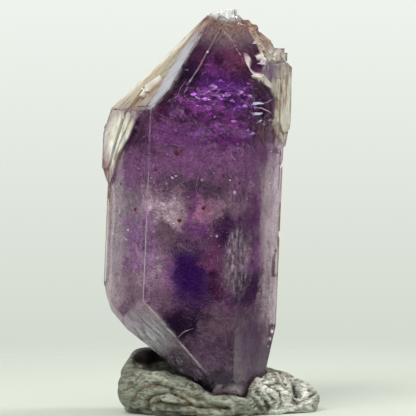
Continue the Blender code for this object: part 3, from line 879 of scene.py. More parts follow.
@dataclass(frozen=True)
class Rind:
    """Frost, iron stains and some painted light and shade on the stone's ribs, edges and faces.
    Elsewhere it is bare.
    """

    roughness: float = 0.6
    edge_softness: float = 0.18
    crusts: tuple[Crust, ...] = (
        Crust(TIP_LEFT, -0.42, (-9.8, 0, 49.6), (2.2, 14, 2.6), Tint.BROWN, Tint.TAN, 0.80,
              softness=0.08, grain_deg=51, streaks=0.4),
        Crust(TIP_LEFT, -0.14, (-6, 0, 55), (16, 16, 15), Tint.SAND, Tint.BROWN, 0.80,
              softness=0.08, grain_deg=51, streaks=0.55),
        Crust(TIP_LEFT, 0.21, (-6, 0, 55), (16, 16, 15), Tint.SAND, Tint.RUST, 0.84,
              softness=0.06, grain_deg=51, streaks=0.5, grain_size=0.6),
        Crust(TIP_LEFT, -0.14, (-6, 0, 55), (16, 16, 15), Tint.CREAM, Tint.TAN, 0.90,
              second_face=(-120, 40, 39.6), softness=0.6, grain_deg=51, grain_size=0.5),
        Crust(TIP_LEFT, 0.45, (-8, 0, 52), (6, 14, 5), Tint.CREAM, Tint.WHITE, 0.95,
              grain_deg=51, streaks=0.1),
        Crust(TIP_LEFT, -0.14, (-6.8, 0, 51.2), (2.2, 14, 2.4), Tint.TAN, Tint.BROWN, 0.85,
              softness=0.08, grain_deg=51, streaks=0.3),
        Crust(TIP_LEFT, -0.14, (-4.5, -8, 55), (10, 14, 14), Tint.FROST, Tint.BROWN, 0.74,
              second_face=(0, 38.2, 37.65), softness=0.08, grain_deg=51, streaks=0.6,
              grain_size=0.6),
        Crust(TIP_LEFT, -0.14, (-4.5, -8, 55), (10, 14, 14), Tint.ICE, Tint.FROST, 0.86,
              second_face=(0, 38.2, 38), softness=0.06, grain_deg=51, streaks=0.2),
        Crust(FRONT_LEFT, -0.3, (-13.2, -4, 42.6), (2, 7, 7), Tint.BROWN, Tint.WARM, 0.75),
        Crust(FRONT_LEFT, 0.62, (-12.5, -5, 42.5), (6, 9, 8.5), Tint.CREAM, Tint.WHITE, 0.94,
              softness=0.1, grain_deg=66, streaks=0.45),
        Crust(FRONT_RIGHT, -0.2, (14.2, -2, 50), (2.8, 9, 9), Tint.BROWN, Tint.TAN, 0.75,
              streaks=0.6),
        Crust(FRONT_RIGHT, 0.4, (14, -2, 50), (5, 9, 9.5), Tint.CREAM, Tint.BROWN, 0.85,
              streaks=0.7, grain_size=0.6),
        Crust(FRONT_RIGHT, 0.2, (11, -6, 52.8), (2.8, 5.5, 3), Tint.CREAM, Tint.BROWN, 0.92),
        Crust(TIP_RIGHT, -0.3, (8, 0, 59), (7.5, 9, 7), Tint.TAN, Tint.BROWN, 0.90,
              grain_deg=-50, streaks=0.7, grain_size=0.5, gap=0.42),
        Crust(TIP_RIGHT, -0.6, (12.3, -2, 57.2), (2.4, 8, 2.2), Tint.CREAM, Tint.TAN, 0.75,
              streaks=0.8, grain_size=0.5, gap=0.42),
        Crust(FRONT_RIGHT, -0.4, (11.4, -6, 55), (2, 6, 2.6), Tint.FROST, Tint.LILAC, 0.50,
              streaks=0.6, grain_size=0.5),
        Crust(FRONT_RIGHT, -0.5, (11.6, -6, 45.2), (3, 6, 3.6), Tint.TAN, Tint.BROWN, 0.60,
              streaks=1, grain_size=0.35, gap=0.50),
        Crust(TIP_FRONT, 0.25, (9.6, -5, 55), (4.5, 8, 5.5), Tint.CREAM, Tint.GREY, 0.80),
        Crust(TIP_FRONT, -4, (4.2, 0, 66), (11, 20, 9), Tint.BROWN, Tint.WARM, 0.46,
              streaks=0.9, grain_size=0.35),
        Crust(TIP_FRONT, -4, (4, 0, 64.4), (4.6, 5, 2.3), Tint.WHITE, Tint.TAN, 0.85),
        Crust(FOOT_BAND, -0.2, (-6.5, -5, 14.5), (8, 9, 7), Tint.FROST, Tint.LILAC, 0.40,
              grain_deg=-34, streaks=0.8),
        # White streaks on the foot band: its striations, with a painted highlight on them.
        Crust(FOOT_BAND, -0.2, (-2, -5, 10), (12, 9, 11), Tint.WHITE, Tint.ICE, 0.60,
              grain_deg=-46, streaks=1, grain_size=0.45, gap=0.56),
        Crust(FOOT_FRONT, -0.2, (4, -5, 6), (7, 8, 6), Tint.GREY, Tint.FROST, 0.50,
              grain_deg=0, streaks=0.5),
        Crust(FRONT, -4, (7.5, -5, 4.6), (2.2, 8, 1.7), Tint.FROST, Tint.PALE, 0.55,
              grain_deg=0, streaks=0.3),
        Crust(FRONT, -4, (7.4, -10, 25), (3, 6, 7.4), Tint.FROST, Tint.ICE, 0.55,
              streaks=1, grain_size=0.42, gap=0.48),
        Crust(FRONT_LEFT, -0.5, (-13, -4, 27), (3.2, 8, 15), Tint.PALE, Tint.FROST, 0.16,
              streaks=1),
        Crust(FRONT_RIGHT, -0.5, (12.9, -6, 31), (3.2, 8, 15), Tint.PALE, Tint.FROST, 0.44,
              streaks=1),
        Crust(FRONT_RIGHT, -0.5, (9.9, -6, 11), (4.2, 8, 8), Tint.NIGHT, Tint.PURPLE, 0.50,
              streaks=1, grain_size=0.5, gap=0.44),
        Crust(FRONT_LEFT, -4, (-14.4, 0, 33), (1.5, 6, 11), Tint.BROWN, Tint.CREAM, 0.45),
        Crust(FRONT_RIGHT, -4, (14.2, 1, 28), (1.2, 5, 22), Tint.BROWN, Tint.CREAM, 0.40),
        # Painted shade along the front's left and right edges, with a faint painted highlight
        # beside the left one.
        Crust(FRONT_LEFT, -0.04, (-7, -10, 30), (6, 6, 24), Tint.DARK, Tint.PURPLE, 0.65,
              second_face=(0, 0, 10.24), softness=0.04, streaks=0.5),
        Crust(FRONT, -0.04, (-7, -10, 27), (6, 6, 18), Tint.FROST, Tint.GREY, 0.12,
              second_face=(-60, 0, 11.48), softness=0.04, streaks=0.8),
        Crust(FRONT, -0.12, (7, -10, 28), (6, 5, 20), Tint.DARK, Tint.PLUM, 0.22,
              second_face=(60, 0, 11.43), softness=0.06, streaks=0.8),
        # A painted highlight along the edge between the front and the foot band.
        Crust(FRONT, -0.12, (-4, -9, 14), (12, 8, 12), Tint.FROST, Tint.PALE, 0.55,
              second_face=(-39, -30.7, 1.52), softness=0.05, grain_deg=-34, streaks=0.8),
    )

    def material(self) -> Material:
        """Builds the material.

        Returns:
            The material.
        """
        nodes = Surface("stained_rind")
        place = nodes.place
        kinds = {(crust.grain_deg, crust.grain_size) for crust in self.crusts}
        grains = {kind: self.grain(nodes, *kind) for kind in sorted(kinds)}
        cover = 0.0
        colour = Tint.PALE
        for crust in self.crusts:
            stain, density = grains[crust.grain_deg, crust.grain_size]
            thick = nodes.span(density, crust.gap, crust.gap + self.edge_softness,
                               1.0 - crust.streaks, 1.0)
            mask = nodes.mask(EFFECTS.spot, Place=place, Centre=crust.centre, Radii=crust.radii,
                              Core=0.4)
            for *turn, reach in crust.planes():
                near = nodes.mask(EFFECTS.near_face, Place=place, Direction=direction(*turn),
                                  Reach=reach, Softness=crust.softness)
                mask = nodes.math("MULTIPLY", near, mask)
            colour = nodes.blend(mask, colour, nodes.blend(stain, crust.tint, crust.other))
            layer = nodes.math("MULTIPLY", nodes.math("MULTIPLY", mask, crust.cover), thick)
            cover = nodes.math("MAXIMUM", cover, layer)
        return nodes.close(Base_Color=colour, Alpha=cover, Roughness=self.roughness)

    def grain(self, nodes: Surface, turn_deg: float, size: float) -> tuple[Socket, Socket]:
        """Patches drawn out one way across the front.

        Args:
            nodes: the material's nodes.
            turn_deg: the way they run; 0 is level and 90 upright.
            size: how coarse they are.

        Returns:
            How stained a place is, and the uneven thickness of the crust there.
        """
        given = {
            "Vector": nodes.place,
            "Rotation": (0.0, -math.radians(turn_deg), 0.0),
            "Scale": (2.8 * size, 0.9 * size, 0.6 * size),
        }
        turned = nodes.add("Mapping", given, vector_type="TEXTURE").outputs[0]
        patches = nodes.noise(turned, 0.55, 6.0, 0.66, 0.3)
        return nodes.span(patches, 0.52, 0.64, 0.0, 0.9), nodes.noise(turned, 0.95, 5.0, 0.66)


@dataclass(frozen=True)
class Solid:
    """A small inclusion of one mineral, a little uneven in colour, or a painted glint or shade of
    the same kind.
    """

    name: str
    colour: Colour
    other: Colour
    roughness: float
    alpha: float = 1.0

    def material(self) -> Material:
        """Builds the material.

        Returns:
            The material.
        """
        nodes = Surface(self.name)
        share = nodes.span(nodes.noise(nodes.place, 1.6, 2.0), 0.4, 0.6)
        colour = nodes.blend(share, self.colour, self.other)
        alpha = self.alpha
        if alpha < 1.0:
            patches = nodes.noise(nodes.place, 2.4, 3.0)
            alpha = nodes.span(patches, 0.35, 0.65, 0.4 * alpha, alpha)
        return nodes.close(Base_Color=colour, Alpha=alpha, Roughness=self.roughness)


@dataclass
class AmethystPoint:
    """The stone itself: its clear surface with worn edges, and the stained rind, with some painted
    light and shade, that lies on it.
    """

    edge: float = 0.09
    edge_deg: float = 18.0
    rind_height: float = 0.015
    finish: ClearQuartz = ClearQuartz()
    rind: Rind = Rind()

    def build(self) -> None:
        """Models both from the CAD crystal."""
        piece = cad_copy("crystal")
        modify(piece, "Worn edges", "BEVEL", width=self.edge * MM, segments=2,
               limit_method="ANGLE", angle_limit=math.radians(self.edge_deg))
        apply_modifiers(piece)
        rind = duplicate(piece)
        lift(rind, "On the surface", self.rind_height)
        apply_modifiers(rind)
        hand_in(piece, "amethyst_point", Slot.AMETHYST, self.finish.material())
        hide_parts("crystal")
        hand_in(rind, "stained_rind", Slot.AMETHYST, self.rind.material())


@dataclass
class ColourCloud:
    """A lumpy zone of colour. It is cut off where it would leave the stone."""

    name: str
    finish: ColourZone
    centre: Triple
    radii: Triple
    lumps: float = 0.22

    def build(self, limit: Piece) -> None:
        """Models the cloud.

        Args:
            limit: the body that the cloud stays inside.
        """
        select()
        bpy.ops.mesh.primitive_ico_sphere_add(subdivisions=5, radius=1.0)
        piece = bpy.context.active_object
        bpy.ops.transform.resize(value=self.radii)
        settle(piece, CRYSTAL_MATRIX @ Matrix.Translation(self.centre))
        displace(piece, "Cloud lumps", "CLOUDS", max(self.radii) * 0.6,
                 2.0 * self.lumps * min(self.radii), noise_depth=2)
        modify(piece, "Stay in the stone", "BOOLEAN", operation="INTERSECT", object=limit)
        apply_modifiers(piece, smooth=True)
        hand_in(piece, self.name, Slot.AMETHYST, self.finish.material())


@dataclass
class ColourClouds:
    """The see-through violet zones of the stone."""

    clouds: list[ColourCloud] = field(default_factory=lambda: [
        ColourCloud("head_zone", ColourZone("head_violet", (0.34, 0.02, 0.30), 55.0),
                    (2.8, 0.0, 55.5), (10.8, 8.2, 11.5)),
        ColourCloud("belt_zone", ColourZone("belt_violet", (0.55, 0.04, 0.70), 60.0),
                    (0.5, -0.8, 45.0), (12.4, 7.8, 7.6)),
        ColourCloud("core_zone", ColourZone("core_violet", (0.28, 0.0, 0.52), 120.0),
                    (1.0, -1.6, 23.0), (5.0, 5.0, 7.4)),
        ColourCloud("low_zone", ColourZone("low_plum", (0.36, 0.14, 0.32), 80.0),
                    (3.4, -0.8, 11.5), (8.2, 6.6, 9.2)),
    ])
    margin: float = 0.7

    def build(self) -> None:
        """Models every cloud inside the stone."""
        limit = FacetedBody(STONE_FACES, inset=self.margin).carve()
        for cloud in self.clouds:
            cloud.build(limit)
        bpy.data.objects.remove(limit)


@dataclass
class Phantom:
    """The ghost crystal inside the stone, and the lumpy fronts of inclusions round it."""

    ghost_faces: list[Face] = field(default_factory=lambda: [
        (0, 0, 6.8), (-60, 0, 6.6), (60, 0, 8.6), (-120, 0, 7.4), (120, 0, 8.6), (180, 0, 6),
        (0, 52, 30), (-70, 58, 31.6), (70, 60, 32.6), (-130, 52, 30.4), (130, 52, 31),
        (180, 50, 29.8), (-39, -30.7, -1.6), (-100, -45, -5), (90, -20, 6), (180, -40, -4.4),
        (0, -60, -3),
    ])
    ghost: Veil = Veil("ghost_veil", 0.95, 0.8, 0.3)
    skin: Veil = Veil("outer_veil", 0.55, 0.9, 0.20)
    skin_depth: float = 0.42
    skin_voxel: float = 0.45
    skin_lumps: tuple[float, float] = (1.6, 0.21)
    fronts: tuple[tuple[str, float, Veil], ...] = (
        ("middle_growth", 2.0, Veil("middle_veil", 0.75, 0.6, 0.22)),
        ("inner_growth", 4.2, Veil("inner_veil", 1.0, 0.8, 0.26)),
    )

    def build(self) -> None:
        """Models the ghost crystal and the fronts of inclusions."""
        ghost = FacetedBody(self.ghost_faces, lump=0.5, lump_size=3.0).carve()
        hand_in(ghost, "ghost_crystal", Slot.AMETHYST, self.ghost.material())
        hand_in(self.below_skin(), "outer_growth", Slot.AMETHYST, self.skin.material())
        for name, inset, veil in self.fronts:
            front = FacetedBody(STONE_FACES, inset=inset, lump=0.6 * inset, lump_size=4.5).carve()
            hand_in(front, name, Slot.AMETHYST, veil.material())

    def below_skin(self) -> Piece:
        """The outermost front of inclusions, which follows the stone's real surface from inside.

        Returns:
            The front.
        """
        piece = cad_copy("crystal")
        remesh(piece, self.skin_voxel)
        modify(piece, "Soften", "SMOOTH", iterations=3)
        lift(piece, "Below the surface", -self.skin_depth)
        displace(piece, "Lumps", "CLOUDS", *self.skin_lumps, noise_depth=2)
        apply_modifiers(piece, smooth=True)
        return piece


@dataclass
class Strewn:
    """Small shapes of one kind, strewn through a box in the stone and joined in one piece."""

    name: str
    count: int
    low: Triple
    high: Triple
    size: tuple[float, float]
    seed: int
    finish: Solid

    def model(self) -> Piece:
        """Models the shape that is copied."""
        raise NotImplementedError

    def matrices(self, source: random.Random) -> Iterator[Matrix]:
        """Where the copies go, how they are turned and how large they are, by seeded chance."""
        raise NotImplementedError

    def thicken(self, piece: Piece) -> None:
        """Finishes the joined copies. Most kinds are finished as they are."""

    def within(self, source: random.Random, margin: float) -> Vector:
        """A seeded place in the box, inside the stone.

        Args:
            source: where the chance comes from.
            margin: how deep the place lies at least below every face.

        Returns:
            The place.
        """
        while True:
            point = Vector([source.uniform(a, b) for a, b in zip(self.low, self.high)])
            if inside_stone(point, margin):
                return point

    def build(self) -> None:
        """Models one shape, copies it at its places, and joins the copies."""
        select()
        model = self.model()
        copies = []
        for matrix in self.matrices(random.Random(self.seed)):
            copies.append(duplicate(model))
            copies[-1].matrix_world = matrix
        bpy.data.objects.remove(model)
        piece = join(copies)
        self.thicken(piece)
        hand_in(piece, self.name, Slot.AMETHYST, self.finish.material())


@dataclass
class Flakes(Strewn):
    """Many small flat crystals. The spots are the places, as (x, z, size), of the largest ones."""

    thickness: float
    sides: int = 5
    margin: float = 0.5
    slim: tuple[float, float] = (0.4, 1.0)
    spots: tuple[Triple, ...] = ()

    def model(self) -> Piece:
        """Models a plate with a few sides."""
        bpy.ops.mesh.primitive_cylinder_add(
            vertices=self.sides, radius=1.0, depth=2.0 * self.thickness, end_fill_type="NGON")
        return bpy.context.active_object

    def matrices(self, source: random.Random) -> Iterator[Matrix]:
        """The spots first, then the seeded places. Most flakes are small.

        Args:
            source: where the chance comes from.

        Yields:
            The matrix of each copy.
        """
        places = [(below_front(x, z, self.margin), size) for x, z, size in self.spots]
        least, most = self.size
        for _ in range(self.count):
            place = self.within(source, self.margin)
            places.append((place, least + (most - least) * source.random() ** 2.5))
        for centre, size in places:
            turn = Vector([source.gauss(0.0, 1.0) for _ in range(3)]).to_track_quat("Z", "Y")
            sizes = (size, size * source.uniform(*self.slim), size, 1.0)
            yield Matrix.Translation(centre) @ turn.to_matrix().to_4x4() @ Matrix.Diagonal(sizes)


@dataclass
class Fans(Strewn):
    """Curved fracture fans, each a thin rippled shell."""

    half_turn: float = 1.3
    dish: float = 0.25
    shell: float = 0.03

    def model(self) -> Piece:
        """Bends a grid to a fan.

        Returns:
            The fan, of unit size.
        """
        bpy.ops.mesh.primitive_grid_add(x_subdivisions=14, y_subdivisions=9, size=2.0)
        piece = bpy.context.active_object
        for vertex in piece.data.vertices:
            along, across = vertex.co.x, vertex.co.y
            out = 0.35 + 0.325 * (across + 1.0)  # 0.35 at its root and 1 at its rim
            ripple = 0.05 * math.sin(9.0 * out + 2.0 * along)
            vertex.co = (
                out * math.sin(self.half_turn * along),
                out * math.cos(self.half_turn * along) - 0.6,
                self.dish * out * out + ripple,
            )
        return piece

    def matrices(self, source: random.Random) -> Iterator[Matrix]:
        """Seeded places, with most fans turned to the front.

        Args:
            source: where the chance comes from.

        Yields:
            The matrix of each copy.
        """
        for _ in range(self.count):
            size = source.uniform(*self.size)
            centre = self.within(source, 0.5 * size)
            turn = Matrix.Identity(4)
            for low, high, axis in ((-0.7, 0.7, "Z"), (0.2, 1.3, "X"), (-0.6, 0.6, "Y")):
                turn = turn @ Matrix.Rotation(source.uniform(low, high), 4, axis)
            yield Matrix.Translation(centre) @ turn @ Matrix.Scale(size, 4)

    def thicken(self, piece: Piece) -> None:
        """Gives the fans their wall."""
        modify(piece, "Shell", "SOLIDIFY", thickness=self.shell * MM)
        apply_modifiers(piece, smooth=True)


@dataclass
class Hairs(Strewn):
    """Fine curved cracks, copied from one thread. The level is how steep they run, in degrees."""

    width: float
    level: float
    steps: int = 7
    spread_deg: float = 32.0

    def model(self) -> Piece:
        """Extrudes a small square to a curved thread.

        Returns:
            The thread, of unit size.
        """
        bpy.ops.mesh.primitive_plane_add(size=1.0, rotation=(0.0, math.radians(90.0), 0.0))
        bpy.ops.object.transform_apply(location=True, rotation=True, scale=True)
        bpy.ops.object.mode_set(mode="EDIT")
        bpy.ops.mesh.select_all(action="SELECT")
        for step in range(self.steps):
            along = 2.0 * step / (self.steps - 1) - 1.0
            bpy.ops.mesh.extrude_region_move(TRANSFORM_OT_translate={"value": (1.0, 0.0, along)})
        bpy.ops.mesh.select_all(action="SELECT")
        bpy.ops.mesh.normals_make_consistent(inside=False)
        bpy.ops.object.mode_set(mode="OBJECT")
        return bpy.context.active_object

    def matrices(self, source: random.Random) -> Iterator[Matrix]:
        """Seeded places, with most hairs near their level.

        Args:
            source: where the chance comes from.

        Yields:
            The matrix of each copy.
        """
        for _ in range(self.count):
            centre = self.within(source, 0.3)
            length = source.uniform(*self.size) / self.steps
            width = self.width * source.uniform(0.5, 1.0)
            turn = (
                Matrix.Rotation(source.gauss(0.0, 0.5), 4, "Z")
                @ Matrix.Rotation(math.radians(source.gauss(self.level, self.spread_deg)), 4, "Y")
                @ Matrix.Rotation(source.uniform(-1.2, 1.2), 4, "X")
            )
            sizes = (length, width, width, 1.0)
            yield Matrix.Translation(centre) @ turn @ Matrix.Diagonal(sizes)


@dataclass
class Cracks:
    """Every fan and hair crack inside the stone."""

    kinds: list[Fans | Hairs] = field(default_factory=lambda: [
        Fans("belt_fans", 60, (-4.5, -9.2, 44.5), (9.5, -6, 52.5), (0.4, 1.7), 21,
             Solid("fracture_fan", (0.50, 0.14, 0.74), (0.85, 0.50, 0.95), 0.3, alpha=0.6)),
        Fans("pale_fans", 46, (-9, -9.6, 26), (10, -6, 44), (0.3, 1.1), 22,
             Solid("pale_fan", (0.42, 0.26, 0.40), (0.66, 0.52, 0.60), 0.3, alpha=0.5)),
        Fans("foot_fans", 40, (-2, -9.4, 6), (10, -4, 20), (0.3, 1.0), 23,
             Solid("foot_fan", (0.16, 0.09, 0.14), (0.42, 0.36, 0.38), 0.3, alpha=0.5)),
        Hairs("belt_hairs", 90, (-7, -9.8, 44), (8, -6, 54), (0.6, 2.0), 31,
              Solid("belt_hair", (0.60, 0.22, 0.80), (0.90, 0.66, 0.92), 0.3), 0.05, 0),
        Hairs("pale_hairs", 130, (-11, -9.8, 26), (11, -6, 44), (0.6, 2.6), 32,
              Solid("pale_hair", (0.52, 0.34, 0.48), (0.78, 0.70, 0.74), 0.3), 0.045, 60),
        Hairs("dark_hairs", 130, (-10, -9.8, 18), (11, -6, 52), (0.8, 3.2), 33,
              Solid("dark_hair", (0.03, 0.01, 0.03), (0.10, 0.03, 0.09), 0.5), 0.06, 30),
        Hairs("foot_hairs", 90, (-4, -9.6, 4), (12.5, -3, 20), (0.6, 2.2), 36,
              Solid("foot_hair", (0.30, 0.20, 0.26), (0.62, 0.54, 0.54), 0.4), 0.05, 10),
    ])

    def build(self) -> None:
        """Models every kind."""
        for kind in self.kinds:
            kind.build()


# Short bright threads on the right's ledges: painted highlights.
GLINTS: dict[str, tuple[Face, float, Route]] = {
    "upper glint": (FRONT_RIGHT, 3.6, [(8.2, 49.7), (8.8, 49.9), (9.6, 50), (10.3, 49.9)]),
    "middle glint": (FRONT_RIGHT, 3.8, [(8.2, 48.4), (8.8, 48.3), (9.6, 48.3), (10.2, 48.4)]),
    "lower glint": (FRONT_RIGHT, 2.4, [(8.6, 46.9), (9.2, 46.9), (9.8, 47.1), (10.2, 47.3)]),
}


@dataclass
class Seams:
    """The healed cracks of the tip and the foot: thin pale threads just below a face. In a bright
    finish the same threads are painted highlights on the ledges.
    """

    name: str = "healed_seams"
    depth: float = 0.35
    width: float = 0.11
    finish: Solid = Solid("healed_seam", (0.62, 0.60, 0.66), (0.56, 0.42, 0.40), 0.5)
    routes: dict[str, tuple[Face, float, Route]] = field(default_factory=lambda: {
        "left arm": (TIP_FRONT, 1, [(3.1, 61.6), (2.1, 59.5), (1, 57.5), (-0.3, 54.9),
                                      (-1.5, 52.9), (-2.1, 52.3)]),
        "right arm": (TIP_FRONT, 0.9, [(3.1, 61.6), (4.3, 60.4), (5.3, 59.3)]),
        "curl": (TIP_FRONT, 0.7, [(-4.6, 49.8), (-3.3, 50.5), (-2.9, 51.8), (-2.1, 52.9)]),
        "upper tail": (FRONT_RIGHT, 0.8, [(10, 49.9), (10.9, 50.1), (11.7, 50.6), (12.2, 51.2)]),
        "middle tail": (FRONT_RIGHT, 1.1, [(8.6, 49.3), (10, 49.2), (11.2, 48.7), (12.1, 48)]),
        "foot crack": (FRONT, 0.9, [(-1.6, 12.7), (-0.9, 13.5), (-0.1, 13.9), (0.8, 14.2)]),
    })

    @staticmethod
    def girth(share: float) -> float:
        """How thick a thread is at a share of its way, next to its middle."""
        return 0.3 + 0.7 * math.sin(math.pi * share)

    def thread(self, points: list[Vector], width: float) -> Piece:
        """Models one thread: a small square, extruded from point to point, thin at both ends.

        Args:
            points: the places that the thread goes through.
            width: its width.

        Returns:
            The thread, in the crystal's frame.
        """
        first = (points[1] - points[0]).normalized().to_track_quat("Z", "Y").to_euler()
        select()
        size = width * self.girth(0.0)
        bpy.ops.mesh.primitive_plane_add(size=size, location=points[0], rotation=first)
        bpy.ops.object.transform_apply(location=True, rotation=True, scale=True)
        bpy.ops.object.mode_set(mode="EDIT")
        bpy.ops.mesh.select_all(action="SELECT")
        sides = len(points) - 1
        for step, (start, end) in enumerate(zip(points, points[1:]), 1):
            bpy.ops.mesh.extrude_region_move(TRANSFORM_OT_translate={"value": end - start})
            ratio = self.girth(step / sides) / self.girth((step - 1) / sides)
            bpy.ops.transform.resize(value=(ratio, ratio, ratio), center_override=end)
        bpy.ops.mesh.select_all(action="SELECT")
        bpy.ops.mesh.normals_make_consistent(inside=False)
        bpy.ops.object.mode_set(mode="OBJECT")
        return bpy.context.active_object

    def build(self) -> None:
        """Models every thread and joins them."""
        piece = join([
            self.thread([below_face(face, x, z, self.depth) for x, z in points], self.width * width)
            for face, width, points in self.routes.values()
        ])
        hand_in(piece, self.name, Slot.AMETHYST, self.finish.material())


@dataclass
class Inclusions:
    """What is strewn through the stone: flakes painted bright as glints, dark flakes of painted
    shade in the belt, rusty flakes and dark dust.
    """

    kinds: list[Flakes] = field(default_factory=lambda: [
        # Dark flakes between the belt's glints: painted shade.
        Flakes("belt_shadows", 240, (-5, -9.8, 46), (10, -7, 53.5), (0.2, 1.2), 41,
               Solid("belt_shadow", (0.035, 0.004, 0.055), (0.10, 0.012, 0.14), 0.6), 0.04,
               sides=6, margin=0.3, slim=(0.2, 0.7)),
        # The violet, lilac and pale glints are diffuse flakes in bright colours: painted glints.
        Flakes("violet_glints", 420, (-4, -9.8, 44.5), (9.5, -6, 53), (0.10, 0.60), 3,
               Solid("violet_glint", (0.42, 0.05, 0.72), (0.95, 0.50, 1.0), 0.25), 0.04,
               sides=4, margin=0.2, slim=(0.2, 0.6), spots=(
                   (-2.1, 54.7, 0.5), (-0.8, 51.0, 0.6), (-0.2, 50.4, 0.7), (1.1, 50.3, 0.9),
                   (1.5, 49.2, 0.6), (3.3, 53.3, 0.5), (2.7, 47.6, 0.6), (5.6, 50.1, 0.5),
                   (7.3, 49.5, 0.6), (7.9, 51.0, 0.6), (7.2, 51.2, 0.4), (5.7, 47.1, 0.6),
                   (7.9, 45.7, 0.5))),
        Flakes("lilac_glints", 380, (-11, -9.9, 35), (10, -4, 47), (0.08, 0.34), 17,
               Solid("lilac_glint", (0.42, 0.14, 0.50), (0.80, 0.52, 0.80), 0.3), 0.06,
               sides=4, margin=0.2, slim=(0.15, 0.6)),
        Flakes("pale_glints", 170, (-12, -9.9, 26), (12, -6, 46), (0.05, 0.30), 5,
               Solid("pale_glint", (0.95, 0.90, 0.95), (0.90, 0.66, 0.92), 0.2), 0.1,
               margin=0.15, spots=(
                   (-3.6, 37.8, 0.34), (-3.0, 38.1, 0.26), (-6.9, 37.6, 0.26), (6.3, 35.9, 0.30),
                   (5.5, 37.8, 0.24), (2.9, 38.8, 0.22), (-3.1, 30.6, 0.24), (-10.2, 29.0, 0.30),
                   (-10.4, 27.4, 0.2), (3.8, 28.9, 0.22), (1.1, 57.7, 0.22), (-1.5, 53.0, 0.24),
                   (0.5, 54.3, 0.18), (0.9, 54.5, 0.14), (13.0, 14.9, 0.35), (13.2, 13.4, 0.4),
                   (13.0, 12.2, 0.35), (12.7, 11.0, 0.3), (12.4, 16.0, 0.3))),
        Flakes("rust_flakes", 170, (-12.5, -10.2, 22), (12.5, -6, 45), (0.05, 0.17), 9,
               Solid("hematite", (0.035, 0.0005, 0.002), (0.16, 0.008, 0.005), 0.25), 0.6,
               sides=7, margin=0.2, slim=(0.6, 1.0), spots=(
                   (-3.1, 41.7, 0.46), (-2.4, 42.0, 0.20), (-4.9, 35.7, 0.26), (-9.1, 32.4, 0.34),
                   (-2.2, 31.1, 0.32), (1.5, 33.2, 0.26), (-9.3, 25.8, 0.2), (13.2, 26.3, 0.22),
                   (7.0, 37.4, 0.24), (-11.7, 36.1, 0.24), (4.4, 38.4, 0.16), (5.6, 38.0, 0.16),
                   (6.2, 37.0, 0.14), (6.9, 36.4, 0.16), (-6.2, 38.9, 0.18))),
        Flakes("dark_dust", 900, (-13.5, -10.2, 8), (13.5, -3, 46), (0.05, 0.15), 11,
               Solid("dark_dust", (0.03, 0.01, 0.015), (0.12, 0.04, 0.03), 0.5), 0.4, margin=0.2),
    ])

    def build(self) -> None:
        """Models every kind."""
        for kind in self.kinds:
            kind.build()


